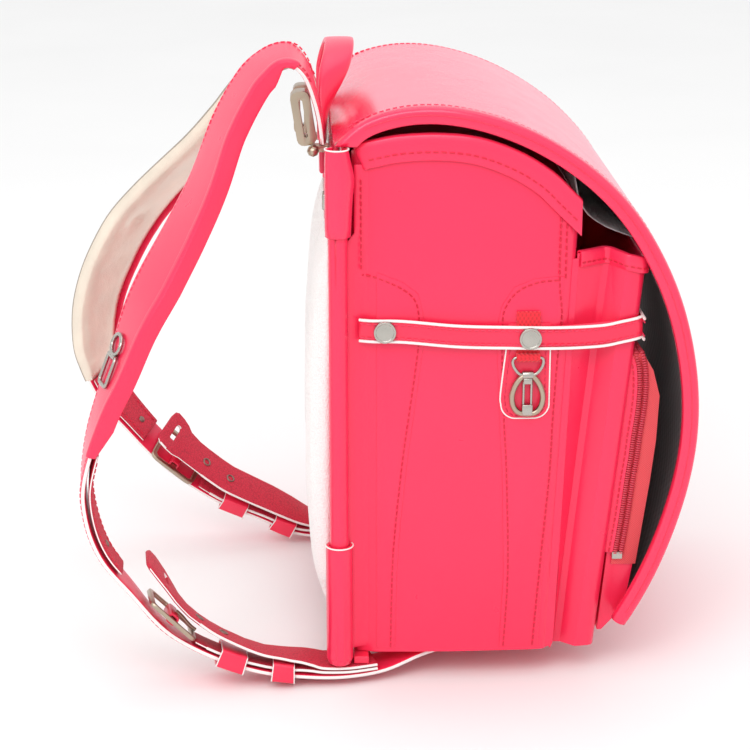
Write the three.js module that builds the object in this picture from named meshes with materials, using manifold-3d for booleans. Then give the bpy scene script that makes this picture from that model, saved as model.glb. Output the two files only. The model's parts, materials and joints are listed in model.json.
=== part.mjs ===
// A school ransel: a stiff box of smooth pink leather with a back board, a long flap, a pleated front
// compartment with a zip pocket, and two padded shoulder straps with buckled lower belts.
// Millimetres. +X points from the wearer's back to the flap, -Y to the side with the hook, +Z up.
import * as THREE from "three";
import { mergeVertices } from "three/addons/utils/BufferGeometryUtils.js";
import Module from "manifold-3d";

const wasm = await Module();
wasm.setup();

// Driving dimensions
const gap = 0.3; // between any two pieces that touch

const board = { thick: 4, half: 125, roll: 6, low: 14.3, top: 322 };
const sleeve = { wall: 1.8, low: 9, lowTop: 87, highLow: 277, highTop: 328, bulge: 3 };
const pad = { half: 104, low: 27, top: 278, thick: 13.5, inset: 2.5 };
const body = { low: 14, stand: 4.5, height: 320, depth: 133, half: 121.5, wall: 2.4, back: 8.2, edge: 14 };
const binding = { thick: 1.3, height: 14 };
const small = { height: 250, depth: 42, half: 116, wall: 2, pleat: 11, lowDepth: 28 };
const pocket = { half: 109, wall: 2, low: 22, top: 199, bulge: 17, zipLow: 66 };
const zip = { thick: 1.1, teeth: 5.4, proud: 1.3 };
const flap = { half: 123.5, skin: 3.2, rim: 10.5, rimWide: 7, room: 14.8, top: 352, low: 14 };
const lining = { thick: 1, margin: 11 };
const sheet = { thick: 0.8, half: 96, sag: 8 };
const band = { height: 13, thick: 1.8, off: 3.8, level: 220 };
const rivet = { radius: 6.5, proud: 2.4, back: 27, front: 112 };
const tab = { wide: 29, low: 165, thick: 1.1, middle: 110 };
const web = { wide: 14, thick: 0.9, top: 231 };
const ring = { wide: 21, height: 13, bar: 1.25, play: 0.35, level: 203.6 };
const hook = { wide: 21, height: 25, thick: 2.6, rim: 3.6, block: 6.4 };
const handle = { wide: 18, thick: 4.6, half: 50, low: 300, top: 371 };
const hanger = { side: 72, wide: 14, tall: 32, leg: 4.6, slot: 2.2, plate: 1.6, knob: 3.6, foot: 316, footTall: 4 };
const strap = { thick: 3.6, wide: 43, reach: 169, top: 375, spread: 117, pad: 7.5, lining: 2.4 };
const belt = { wide: 26, thick: 2.1, tip: 35, hole: 4.8 };
const keeper = { wall: 1.5, play: 0.8 };
const buckle = { wide: 34, long: 37, bar: 3.2, thick: 2.6 };
const clip = { wide: 20, long: 34, eye: 15, frame: 20.5, bar: 2.6, thick: 1.8, off: 5 };
const lock = { half: 24, long: 30, back: 104, tongue: 3, wide: 44 };
const stud = { size: 10, proud: 4 };

// Materials
const finish = (color, roughness, metalness = 0) =>
  new THREE.MeshStandardMaterial({ color, roughness, metalness });
const leather = () => finish(0xf0436b, 0.38);
const trimLeather = () => finish(0xe8345c, 0.42);
const roughLeather = () => finish(0xc22b45, 0.75);
const goldLeather = () => finish(0xd9bf98, 0.35, 0.35);
const whiteMesh = () => finish(0xf3f1ee, 0.8);
const darkLining = () => finish(0x2b1016, 0.8);
const greyMesh = () => finish(0xa09a99, 0.7);
const nickel = () => finish(0xb9b4a4, 0.28, 1);
const champagne = () => finish(0xc9ab86, 0.3, 1);
const zipCloth = () => finish(0xd8404a, 0.8);
const webbing = () => finish(0xf21d2a, 0.5);

// Geometry helpers
const xyz = (x, y, z) => new THREE.Vector3(x, y, z);
const lerp = THREE.MathUtils.lerp;

// Reads a column of a table whose first column runs from low to high, with straight steps between rows.
function column(rows, key, name, at) {
  const last = rows.length - 1;
  if (at <= rows[0][key]) return rows[0][name];
  for (let i = 0; i < last; i += 1) {
    const a = rows[i];
    const b = rows[i + 1];
    if (at <= b[key]) return lerp(a[name], b[name], (at - a[key]) / (b[key] - a[key]));
  }
  return rows[last][name];
}

// Even points on a smooth curve through the given ones.
function smooth(points, count) {
  return new THREE.CatmullRomCurve3(points, false, "centripetal").getSpacedPoints(count - 1);
}

function signedVolume(position, index) {
  const a = new THREE.Vector3();
  const b = new THREE.Vector3();
  const c = new THREE.Vector3();
  let total = 0;
  for (let i = 0; i < index.count; i += 3) {
    a.fromBufferAttribute(position, index.getX(i));
    b.fromBufferAttribute(position, index.getX(i + 1));
    c.fromBufferAttribute(position, index.getX(i + 2));
    total += a.dot(b.cross(c)) / 6;
  }
  return total;
}

// One closed mesh from position data, with its faces pointing out.
function closed(geometry) {
  const bare = new THREE.BufferGeometry();
  bare.setAttribute("position", geometry.getAttribute("position"));
  if (geometry.index) bare.setIndex(geometry.index);
  const merged = mergeVertices(bare, 1e-4);
  const index = merged.index;
  if (signedVolume(merged.getAttribute("position"), index) < 0) {
    for (let i = 0; i < index.count; i += 3) {
      const first = index.getX(i);
      index.setX(i, index.getX(i + 1));
      index.setX(i + 1, first);
    }
  }
  return merged;
}

// Twice the area vector of a closed ring of points.
const spinOf = (points) =>
  points.reduce((sum, p, i) => sum.add(p.clone().cross(points[(i + 1) % points.length])), xyz(0, 0, 0));

// A ring seen along the axis that it faces most, so that its cap can be cut into triangles.
function flatten(ringPoints) {
  const spin = spinOf(ringPoints);
  const size = { x: Math.abs(spin.x), y: Math.abs(spin.y), z: Math.abs(spin.z) };
  const axes = ["x", "y", "z"].sort((a, b) => size[a] - size[b]);
  return ringPoints.map((point) => new THREE.Vector2(point[axes[0]], point[axes[1]]));
}

// A solid skinned over rings that hold the same number of points.
function loft(rings) {
  const count = rings[0].length;
  const positions = rings.flat().flatMap((point) => point.toArray());
  const index = [];
  for (let r = 0; r < rings.length - 1; r += 1) {
    for (let i = 0; i < count; i += 1) {
      const j = (i + 1) % count;
      const [a, b] = [r * count + i, r * count + j];
      const [c, d] = [a + count, b + count];
      index.push(a, b, d, a, d, c);
    }
  }
  const cap = (start, ringPoints, facing) => {
    for (const [a, b, c] of THREE.ShapeUtils.triangulateShape(flatten(ringPoints), [])) {
      const points = [a, b, c].map((i) => ringPoints[i]);
      const normal = points[1].clone().sub(points[0]).cross(points[2].clone().sub(points[0]));
      const flip = normal.dot(facing) < 0;
      index.push(start + a, start + (flip ? c : b), start + (flip ? b : c));
    }
  };
  const middle = (ringPoints) =>
    ringPoints.reduce((sum, p) => sum.add(p), xyz(0, 0, 0)).divideScalar(ringPoints.length);
  // The way round the first ring decides which way the caps look.
  const along = middle(rings[1]).sub(middle(rings[0]));
  const turned = spinOf(rings[0]).dot(along) > 0 ? 1 : -1;
  const lastAlong = middle(rings.at(-1)).sub(middle(rings.at(-2)));
  cap(0, rings[0], along.multiplyScalar(-turned));
  cap((rings.length - 1) * count, rings.at(-1), lastAlong.multiplyScalar(turned));
  const geometry = new THREE.BufferGeometry();
  geometry.setAttribute("position", new THREE.Float32BufferAttribute(positions, 3));
  geometry.setIndex(index);
  return closed(geometry);
}

const outlineShape = (points) => new THREE.Shape(points.map(([a, b]) => new THREE.Vector2(a, b)));

// An XZ outline given depth along Y, and an XY outline given height along Z.
function sidePrism(points, from, to) {
  const solid = new THREE.ExtrudeGeometry(outlineShape(points), { depth: to - from, bevelEnabled: false });
  return closed(solid.rotateX(Math.PI / 2).translate(0, to, 0));
}

function planPrism(points, from, to) {
  const solid = new THREE.ExtrudeGeometry(outlineShape(points), { depth: to - from, bevelEnabled: false });
  return closed(solid.translate(0, 0, from));
}

function toSolid(geometry) {
  const merged = closed(geometry);
  return new wasm.Manifold(
    new wasm.Mesh({
      numProp: 3,
      vertProperties: new Float32Array(merged.getAttribute("position").array),
      triVerts: new Uint32Array(merged.index.array),
    }),
  );
}

function fromSolid(solid) {
  const mesh = solid.getMesh();
  const geometry = new THREE.BufferGeometry();
  geometry.setAttribute("position", new THREE.BufferAttribute(new Float32Array(mesh.vertProperties), 3));
  geometry.setIndex(new THREE.BufferAttribute(new Uint32Array(mesh.triVerts), 1));
  return closed(geometry);
}

const cut = (a, ...others) => fromSolid(others.reduce((sum, g) => sum.subtract(toSolid(g)), toSolid(a)));
const join = (a, ...others) => fromSolid(others.reduce((sum, g) => sum.add(toSolid(g)), toSolid(a)));
const common = (a, b) => fromSolid(toSolid(a).intersect(toSolid(b)));

// Moves each point of a closed outline outwards along its mitre.
function grow(points, by) {
  const area = points.reduce((sum, [x, y], i) => {
    const [u, v] = points[(i + 1) % points.length];
    return sum + x * v - u * y;
  }, 0);
  const side = area > 0 ? 1 : -1;
  return points.map(([x, y], i) => {
    const [px, py] = points.at(i - 1);
    const [nx, ny] = points[(i + 1) % points.length];
    const before = new THREE.Vector2(y - py, px - x).normalize();
    const after = new THREE.Vector2(ny - y, x - nx).normalize();
    const mitre = before.clone().add(after).normalize();
    const reach = (side * by) / Math.max(mitre.dot(after), 0.5);
    return [x + mitre.x * reach, y + mitre.y * reach];
  });
}

const arc = (cx, cy, radius, from, to, steps) =>
  Array.from({ length: steps + 1 }, (_, i) => {
    const angle = THREE.MathUtils.degToRad(lerp(from, to, i / steps));
    return [cx + radius * Math.cos(angle), cy + radius * Math.sin(angle)];
  });

const mirrored = (points) => points.map(([x, y]) => [x, -y]).reverse();
const roundedBox = (wide, high, radius, steps = 3) => [
  ...arc(wide / 2 - radius, high / 2 - radius, radius, 0, 90, steps),
  ...arc(radius - wide / 2, high / 2 - radius, radius, 90, 180, steps),
  ...arc(radius - wide / 2, radius - high / 2, radius, 180, 270, steps),
  ...arc(wide / 2 - radius, radius - high / 2, radius, 270, 360, steps),
];

const group = new THREE.Group();

function add(name, geometry, material) {
  const mesh = new THREE.Mesh(geometry, material);
  mesh.name = name;
  group.add(mesh);
  return mesh;
}

// A piece on both sides: make(side) gives its geometry, with side -1 on the hook's side and 1 opposite.
const sides = [
  ["near", -1],
  ["far", 1],
];
const addPair = (name, material, make) => {
  for (const [word, side] of sides) add(`${name}_${word}`, make(side), material());
};

// Back board: a stiff sheet with rolled edges, and the leather sleeves over its four corners
const rollArc = (radius, web) => {
  const open = THREE.MathUtils.radToDeg(Math.asin(web / radius));
  return arc(0, board.half, radius, open - 90, 270 - open, 9);
};

function boardOutline() {
  const far = rollArc(board.roll, board.thick / 2);
  return [...far, ...mirrored(far)];
}

// A C in plan round one rolled edge. swell pushes its front side out, as the folded leather does.
function sleeveRing(side, z, swell, wall) {
  const slit = board.thick / 2 + gap;
  const outer = rollArc(board.roll + gap + wall, slit + 0.01);
  const inner = rollArc(board.roll + gap, slit).reverse();
  const pushed = outer.map(([x, y]) => [x > 0 ? x * (1 + swell) : x, y]);
  return [...pushed, ...inner].map(([x, y]) => xyz(x, side * y, z));
}

// The folded front side of a top sleeve, as shares of its height and of its radius
const sleeveFolds = [
  { up: 0, swell: 0, wall: 1 },
  { up: 0.45, swell: 0.12, wall: 1 },
  { up: 0.62, swell: 0.3, wall: 1 },
  { up: 0.74, swell: 0.22, wall: 1 },
  { up: 0.88, swell: 0, wall: 0.9 },
  { up: 1, swell: -0.12, wall: 0.75 },
];

function topSleeve(side) {
  const tall = sleeve.highTop - sleeve.highLow;
  const lean = sleeve.bulge / 3;
  return loft(
    sleeveFolds.map((fold) =>
      sleeveRing(side, sleeve.highLow + fold.up * tall, fold.swell * lean, sleeve.wall * fold.wall),
    ),
  );
}

function lowSleeve(side) {
  const floorTop = board.low - gap;
  const tube = loft([floorTop - 1, sleeve.lowTop].map((z) => sleeveRing(side, z, 0, sleeve.wall)));
  const radius = board.roll + gap + sleeve.wall;
  const foot = (r) => arc(0, side * board.half, r, 0, 330, 11);
  const capRings = [
    [sleeve.low, 0.55],
    [sleeve.low + 1.6, 0.88],
    [floorTop, 1],
  ].map(([z, share]) => foot(radius * share).map(([x, y]) => xyz(x, y, z)));
  return join(tube, loft(capRings));
}

add("back_board", planPrism(boardOutline(), board.low, board.top), leather());
addPair("top_sleeve", leather, topSleeve);
addPair("bottom_sleeve", leather, lowSleeve);

// Back pad: two cushioned halves with a shallow channel between them
const padRows = [
  { up: 0, thick: 0.12, half: 0.93 },
  { up: 0.03, thick: 0.45, half: 0.98 },
  { up: 0.12, thick: 0.78, half: 1 },
  { up: 0.32, thick: 1, half: 1 },
  { up: 0.6, thick: 0.95, half: 1 },
  { up: 0.85, thick: 0.62, half: 1 },
  { up: 0.97, thick: 0.35, half: 0.98 },
  { up: 1, thick: 0.12, half: 0.93 },
];
const padSection = [
  { across: 1, deep: 0 },
  { across: 1, deep: 0.3 },
  { across: 0.93, deep: 0.75 },
  { across: 0.7, deep: 1 },
  { across: 0.35, deep: 0.95 },
  { across: 0.14, deep: 0.55 },
];

function backPad() {
  const face = -board.thick / 2 - gap;
  const half = (row, sign) =>
    padSection.map(({ across, deep }) => [
      face - deep * row.thick * pad.thick,
      sign * across * row.half * pad.half,
    ]);
  return loft(
    padRows.map((row) => {
      const z = lerp(pad.low, pad.top, row.up);
      const points = [...half(row, 1), ...half(row, -1).reverse()];
      return points.map(([x, y]) => xyz(x, y, z));
    }),
  );
}

add("back_pad", backPad(), whiteMesh());

// Main compartment: side panels and front in one wall, open at the top and to the board
// The front edge leans forward as it rises: shares of the body's height and depth
const frontLean = [
  { up: 0, out: 0.905 },
  { up: 0.02, out: 0.915 },
  { up: 0.3, out: 0.94 },
  { up: 0.6, out: 0.965 },
  { up: 0.78, out: 0.985 },
  { up: 0.88, out: 1 },
  { up: 1.1, out: 1.01 },
];
// Crown of the side panels, from the board forwards: shares of the depth and height
const crown = [
  { along: -0.03, up: 0.965 },
  { along: 0.06, up: 0.985 },
  { along: 0.2, up: 0.997 },
  { along: 0.38, up: 1 },
  { along: 0.55, up: 0.992 },
  { along: 0.72, up: 0.966 },
  { along: 0.86, up: 0.93 },
  { along: 0.96, up: 0.89 },
  { along: 1.03, up: 0.862 },
];
const bodyTop = body.low + body.height;
const frontAt = (z) => body.back + body.depth * column(frontLean, "up", "out", (z - body.low) / body.height);

// Half of the plan at one height: the margin turns in to the board, the panel bellies, the corner is round
function bodyPlan(z, by = 0) {
  const front = frontAt(z);
  const start = body.back;
  const long = front - start;
  const radius = 7;
  const half = [
    [start, body.half - 8],
    [start + 2.5, body.half - 4.5],
    [start + body.edge, body.half - 1.2],
    [start + long * 0.5, body.half],
    [front - radius * 2, body.half - 1],
    ...arc(front - radius, body.half - 1.5 - radius, radius, 80, 0, 4),
  ];
  const outline = [...half, ...mirrored(half)];
  return by ? grow(outline, by) : outline;
}

const levels = (from, to, count) => Array.from({ length: count }, (_, i) => lerp(from, to, i / (count - 1)));
const bodyBlock = (low, top, by) =>
  loft(levels(low, top, 5).map((z) => bodyPlan(z, by).map(([x, y]) => xyz(x, y, z))));

const crownLine = (drop = 0, reach = 0) =>
  crown.map(({ along, up }) => [
    body.back + body.depth * along + (along > 1 ? reach : 0),
    body.low + body.height * up - drop,
  ]);

function sideOutline(low) {
  const line = crownLine();
  const endX = line.at(-1)[0];
  return [[line[0][0], low], [endX, low], ...line.reverse()];
}

function mainShell() {
  const outer = bodyBlock(body.low, bodyTop + 2, 0);
  const hollow = bodyBlock(body.low + body.wall, bodyTop + 20, -body.wall);
  const openBack = planPrism(
    [
      [body.back - 5, 8 - body.half + body.wall],
      [body.back + body.wall + 1, 8 - body.half + body.wall],
      [body.back + body.wall + 1, body.half - 8 - body.wall],
      [body.back - 5, body.half - 8 - body.wall],
    ],
    body.low + body.wall,
    bodyTop + 20,
  );
  const profile = sidePrism(sideOutline(body.low - 5), -body.half - 5, body.half + 5);
  return cut(common(outer, profile), hollow, openBack);
}

const shell = mainShell();
add("main_shell", shell, leather());

// Top binding: a strip of leather over the crown of each side panel
function topBinding(side) {
  const skinOuter = bodyBlock(body.low + body.height / 2, bodyTop + 10, gap + binding.thick);
  const skinInner = bodyBlock(body.low + body.height / 2 - 1, bodyTop + 12, gap);
  const line = crownLine(-1);
  const under = crownLine(binding.height - 1).reverse();
  const strip = [...line, ...under].map(([x, z]) => [Math.max(x, body.back + 2), z]);
  const reach = body.half + 5;
  const near = body.half - 12;
  const region = sidePrism(strip, side < 0 ? -reach : near, side < 0 ? -near : reach);
  return cut(common(region, skinOuter), skinInner);
}

addPair("top_binding", leather, topBinding);

// Small compartment: a pleated gusset in front of the main wall, open at the top
const pleatRows = [
  { up: 0, fold: 0.2 },
  { up: 0.05, fold: 0.22 },
  { up: 0.3, fold: 0.25 },
  { up: 0.6, fold: 0.36 },
  { up: 0.88, fold: 0.43 },
  { up: 1, fold: 0.45 },
];
const smallTop = body.low + small.height;

function smallPlan(z, wall) {
  const up = (z - body.low) / small.height;
  const start = frontAt(z) + gap - (wall ? 8 : 0);
  const seat = frontAt(z) + gap;
  const long = lerp(small.lowDepth, small.depth, Math.min(up, 1));
  const fold = seat + long * column(pleatRows, "up", "fold", up);
  const front = seat + long - wall;
  const radius = 5 - wall;
  const waist = small.half - small.pleat * lerp(0.8, 1, up) - wall;
  const half = [
    [start, small.half + 1 - wall],
    [seat + 1 + wall * 0.4, small.half + 1 - wall],
    [fold - 2, waist + 1.5],
    [fold + 2, waist + 1.5],
    [front - radius * 2.4, small.half - wall],
    ...arc(front - radius, small.half - 1 - radius - wall, radius, 80, 0, 3),
  ];
  return [...half, ...mirrored(half)];
}

function smallCompartment() {
  const block = (low, top, wall) =>
    loft(levels(low, top, 5).map((z) => smallPlan(z, wall).map(([x, y]) => xyz(x, y, z))));
  const outer = block(body.low, smallTop, 0);
  const hollow = block(body.low + small.wall, smallTop + 6, small.wall);
  const far = frontAt(smallTop) + small.depth + 10;
  const near = frontAt(body.low) - 20;
  const region = sidePrism(
    [
      [near, body.low],
      [far, body.low],
      [far, smallTop - 7],
      [frontAt(smallTop) + small.depth * 0.45, smallTop],
      [near, smallTop],
    ],
    -small.half - 5,
    small.half + 5,
  );
  return cut(common(outer, region), hollow);
}

add("small_compartment", smallCompartment(), leather());

// Zip pocket on the small compartment: its front bellies, and the zip runs up one side and down the other
const smallFrontAt = (z) => {
  const up = Math.min((z - body.low) / small.height, 1);
  return frontAt(z) + gap + lerp(small.lowDepth, small.depth, up);
};
// How far the pocket's front edge stands off, as shares of its height and its bulge
const pocketEdge = [
  { up: 1, out: 0.3 },
  { up: 0.95, out: 0.72 },
  { up: 0.86, out: 1.06 },
  { up: 0.7, out: 1.15 },
  { up: 0.55, out: 1.13 },
  { up: 0.4, out: 1.06 },
  { up: 0.25, out: 1.02 },
  { up: 0.15, out: 0.95 },
  { up: 0.06, out: 0.7 },
  { up: 0, out: 0.2 },
];
const pocketTall = pocket.top - pocket.low;
const pocketFront = (grown) =>
  pocketEdge.map(({ up, out }) => {
    const z = pocket.low + up * pocketTall;
    return [smallFrontAt(z) + pocket.bulge * out + grown, z + (up === 1 ? grown : 0)];
  });

function pocketOutline(grown = 0) {
  const front = pocketFront(grown);
  const seat = (z) => smallFrontAt(z) + 2 * gap;
  const top = front[0][1];
  return [...front, [seat(pocket.low), pocket.low], [seat(top), top]];
}

function pocketBody() {
  const outer = sidePrism(pocketOutline(), -pocket.half, pocket.half);
  const skin = pocketFront(-pocket.wall).slice(1, -1);
  const back = [skin.at(-1), skin[0]].map(([, z]) => [smallFrontAt(z) + 2 * gap + pocket.wall, z]);
  const inside = [...skin, ...back];
  const hollow = sidePrism(inside, pocket.wall - pocket.half, pocket.half - pocket.wall);
  // The mouth under the zip: a slot through the top and both sides, bridged by the tape
  const mouthLow = pocket.zipLow + 4;
  const slot = pocketFront(0).filter(([, z]) => z > mouthLow);
  const low = smallFrontAt(mouthLow) + pocket.bulge * 0.62;
  const mouth = [
    ...slot.map(([x, z]) => [x - pocket.bulge * 0.42, z + (z > pocket.top - 1 ? 6 : 0)]),
    [low, mouthLow],
    [low + 5, mouthLow],
    ...slot.map(([x, z]) => [x - pocket.bulge * 0.42 + 5, z + (z > pocket.top - 1 ? 6 : 0)]).reverse(),
  ];
  return cut(outer, hollow, sidePrism(mouth, -pocket.half - 3, pocket.half + 3));
}

add("zip_pocket", pocketBody(), leather());

function zipTape() {
  const reach = pocket.half + gap + zip.thick;
  const outer = sidePrism(pocketOutline(gap + zip.thick), -reach, reach);
  const inner = sidePrism(grow(pocketOutline(), gap), -pocket.half - gap, pocket.half + gap);
  const front = pocketFront(gap + zip.thick + 1).filter(([, z]) => z > pocket.zipLow);
  const back = [...front].reverse().map(([x, z]) => [x - pocket.bulge * 0.95, z]);
  const lowX = smallFrontAt(pocket.zipLow) + pocket.bulge;
  const region = [
    [lowX - pocket.bulge * 0.8, pocket.zipLow],
    [lowX + 3, pocket.zipLow],
    ...front.reverse(),
    ...back.reverse(),
  ];
  const kept = common(outer, sidePrism(region, -reach - 1, reach + 1));
  return cut(kept, inner);
}

add("zip_tape", zipTape(), zipCloth());

// Bands: each has its own width, thickness and turn along a smooth route
const place = (frame, u, v) =>
  frame.point.clone().addScaledVector(frame.wide, u).addScaledVector(frame.inward, v);

// The frame of a band at one point: wide lies across it, inward through it
function frameAt(point, along, turn = 0) {
  const across = xyz(0, 1, 0).addScaledVector(along, -along.y).normalize();
  const through = along.clone().cross(across);
  const angle = THREE.MathUtils.degToRad(turn);
  const wide = across.multiplyScalar(Math.cos(angle)).addScaledVector(through, -Math.sin(angle));
  return { point, along, wide, inward: along.clone().cross(wide) };
}

// Section of a flat leather band with softened edges: u across, v through
const flatSection = (half, low, high) => {
  const soft = Math.min((high - low) * 0.35, 1);
  return [
    [-half, low + soft],
    [-half + soft, low],
    [half - soft, low],
    [half, low + soft],
    [half, high - soft],
    [half - soft, high],
    [-half + soft, high],
    [-half, high - soft],
  ];
};
// Section of a stuffed pad, flat against the leather and domed inwards
const domeSection = (half, low, high) => [
  [-half * 0.9, low],
  [half * 0.9, low],
  [half * 0.9, lerp(low, high, 0.12)],
  [half * 0.68, lerp(low, high, 0.6)],
  [half * 0.3, high],
  [-half * 0.3, high],
  [-half * 0.68, lerp(low, high, 0.6)],
  [-half * 0.9, lerp(low, high, 0.12)],
];

const ribbon = (stations, section) =>
  loft(stations.map((frame, i) => section(frame, i).map(([u, v]) => place(frame, u, v))));

// Shoulder straps. Each row is one station, from the root behind the handle, over the top, down behind the
// wearer's back and forward under the body: shares of the reach, top, spread and width, and the turn about
// the route in degrees. The near strap stands up; the far one lies back and shows its inner side.
const strapRoutes = {
  near: [
    { back: -0.047, up: 0.859, side: 0.615, wide: 0.56, turn: 0 },
    { back: -0.056, up: 0.901, side: 0.615, wide: 0.56, turn: 0 },
    { back: -0.077, up: 0.939, side: 0.615, wide: 0.66, turn: 2 },
    { back: -0.098, up: 0.973, side: 0.615, wide: 0.85, turn: 4 },
    { back: -0.142, up: 0.996, side: 0.615, wide: 0.98, turn: 8 },
    { back: -0.201, up: 0.996, side: 0.615, wide: 1.02, turn: 9 },
    { back: -0.257, up: 0.98, side: 0.624, wide: 1.05, turn: 12 },
    { back: -0.311, up: 0.953, side: 0.641, wide: 1.05, turn: 15 },
    { back: -0.391, up: 0.889, side: 0.684, wide: 1.05, turn: 17 },
    { back: -0.459, up: 0.808, side: 0.761, wide: 1.05, turn: 18 },
    { back: -0.538, up: 0.736, side: 0.812, wide: 1.05, turn: 20.5 },
    { back: -0.636, up: 0.657, side: 0.88, wide: 1.05, turn: 23.5 },
    { back: -0.707, up: 0.596, side: 0.923, wide: 1, turn: 21 },
    { back: -0.769, up: 0.523, side: 0.957, wide: 0.92, turn: 16 },
    { back: -0.82, up: 0.472, side: 0.983, wide: 0.86, turn: 13 },
    { back: -0.861, up: 0.421, side: 0.996, wide: 0.8, turn: 11 },
    { back: -0.888, up: 0.375, side: 1, wide: 0.72, turn: 7.5 },
    { back: -0.903, up: 0.323, side: 1, wide: 0.66, turn: 3 },
    { back: -0.882, up: 0.259, side: 1, wide: 0.62, turn: 1 },
    { back: -0.834, up: 0.205, side: 1, wide: 0.61, turn: 3 },
    { back: -0.751, up: 0.157, side: 1, wide: 0.605, turn: 6 },
    { back: -0.654, up: 0.096, side: 1, wide: 0.605, turn: 10 },
    { back: -0.559, up: 0.061, side: 1, wide: 0.605, turn: 12 },
    { back: -0.456, up: 0.036, side: 1, wide: 0.605, turn: 12 },
    { back: -0.367, up: 0.02, side: 1, wide: 0.605, turn: 12 },
    { back: -0.29, up: 0.01, side: 1, wide: 0.605, turn: 11 },
    { back: -0.213, up: 0.005, side: 1, wide: 0.605, turn: 9 },
    { back: -0.136, up: 0.004, side: 1, wide: 0.605, turn: 5 },
    { back: -0.059, up: 0.004, side: 1, wide: 0.605, turn: 1 },
    { back: 0.024, up: 0.004, side: 0.991, wide: 0.605, turn: 0 },
    { back: 0.13, up: 0.005, side: 0.957, wide: 0.605, turn: 0 },
    { back: 0.201, up: 0.012, side: 0.923, wide: 0.605, turn: 0 },
    { back: 0.272, up: 0.024, side: 0.889, wide: 0.605, turn: 0 },
    { back: 0.337, up: 0.03, side: 0.863, wide: 0.605, turn: 0 },
  ],
  far: [
    { back: -0.047, up: 0.816, side: 0.615, wide: 0.56, turn: 0 },
    { back: -0.052, up: 0.859, side: 0.615, wide: 0.56, turn: 0 },
    { back: -0.065, up: 0.893, side: 0.615, wide: 0.62, turn: -2 },
    { back: -0.095, up: 0.92, side: 0.607, wide: 0.85, turn: -4 },
    { back: -0.148, up: 0.936, side: 0.607, wide: 0.98, turn: -6 },
    { back: -0.207, up: 0.937, side: 0.607, wide: 1.02, turn: -10 },
    { back: -0.266, up: 0.923, side: 0.615, wide: 1.05, turn: -14 },
    { back: -0.337, up: 0.887, side: 0.641, wide: 1.05, turn: -18 },
    { back: -0.414, up: 0.836, side: 0.675, wide: 1.05, turn: -22 },
    { back: -0.521, up: 0.775, side: 0.718, wide: 1.05, turn: -26 },
    { back: -0.701, up: 0.689, side: 0.769, wide: 1.05, turn: -32 },
    { back: -0.811, up: 0.627, side: 0.812, wide: 1.05, turn: -36 },
    { back: -0.905, up: 0.548, side: 0.855, wide: 1, turn: -38 },
    { back: -0.962, up: 0.473, side: 0.897, wide: 0.92, turn: -38 },
    { back: -0.979, up: 0.405, side: 0.915, wide: 0.84, turn: -37 },
    { back: -0.97, up: 0.36, side: 0.94, wide: 0.76, turn: -35 },
    { back: -0.938, up: 0.309, side: 0.966, wide: 0.7, turn: -32 },
    { back: -0.893, up: 0.269, side: 0.991, wide: 0.66, turn: -29 },
    { back: -0.846, up: 0.24, side: 1, wide: 0.63, turn: -28 },
    { back: -0.802, up: 0.215, side: 1, wide: 0.61, turn: -28 },
    { back: -0.755, up: 0.19, side: 1, wide: 0.605, turn: -28 },
    { back: -0.68, up: 0.155, side: 1, wide: 0.605, turn: -28 },
    { back: -0.58, up: 0.119, side: 1, wide: 0.605, turn: -27 },
    { back: -0.47, up: 0.086, side: 1, wide: 0.605, turn: -26 },
    { back: -0.379, up: 0.067, side: 1, wide: 0.605, turn: -25 },
    { back: -0.29, up: 0.048, side: 1, wide: 0.605, turn: -23 },
    { back: -0.213, up: 0.028, side: 1, wide: 0.605, turn: -18 },
    { back: -0.136, up: 0.011, side: 1, wide: 0.605, turn: -10 },
    { back: -0.059, up: 0.004, side: 1, wide: 0.605, turn: -2 },
    { back: 0.024, up: 0.004, side: 0.991, wide: 0.605, turn: 0 },
    { back: 0.13, up: 0.005, side: 0.957, wide: 0.605, turn: 0 },
    { back: 0.201, up: 0.012, side: 0.923, wide: 0.605, turn: 0 },
    { back: 0.272, up: 0.024, side: 0.889, wide: 0.605, turn: 0 },
    { back: 0.337, up: 0.03, side: 0.863, wide: 0.605, turn: 0 },
  ],
};
const strapCurves = {};
for (const [word, side] of sides) {
  const points = strapRoutes[word].map(({ back, up, side: out }) =>
    xyz(back * strap.reach, side * out * strap.spread, up * strap.top),
  );
  strapCurves[word] = new THREE.CatmullRomCurve3(points, false, "catmullrom", 0.5);
}
const wordOf = (side) => (side < 0 ? "near" : "far");

// The strap's frame at a row of its table, whole or between two rows
function strapFrame(side, at) {
  const word = wordOf(side);
  const rows = strapRoutes[word];
  const low = Math.min(Math.floor(at), rows.length - 2);
  const read = (name) => lerp(rows[low][name], rows[low + 1][name], at - low);
  const t = at / (rows.length - 1);
  const frame = frameAt(strapCurves[word].getPoint(t), strapCurves[word].getTangent(t), read("turn"));
  return { ...frame, half: (read("wide") * strap.wide) / 2 };
}
const stationsFrom = (from, to, step) =>
  Array.from({ length: Math.round((to - from) / step) + 1 }, (_, i) => from + i * step);

const strapEnd = strapRoutes.near.length - 1;
const padSpan = { from: 5.5, to: 15 };
const facingSpan = { from: 15.5, to: 19.5 };
const strapHalf = strap.thick / 2;
const padBelow = strapHalf + 4 * gap;

// Closer stations where the strap bends most or carries a pad or a belt
function strapBody(side) {
  const steps = [...stationsFrom(0, 4, 1), ...stationsFrom(4.5, 29, 0.5), ...stationsFrom(30, strapEnd, 1)];
  const rows = steps.map((at) => strapFrame(side, at));
  return ribbon(rows, ({ half }) => flatSection(half, -strapHalf, strapHalf));
}

function strapPad(side) {
  const rows = stationsFrom(padSpan.from, padSpan.to, 0.5).map((at) => strapFrame(side, at));
  const swell = (i) => strap.pad * [0.3, 0.75, 1][Math.min(i, rows.length - 1 - i, 2)];
  return ribbon(rows, ({ half }, i) => domeSection(half - 1, padBelow, padBelow + swell(i)));
}

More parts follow.
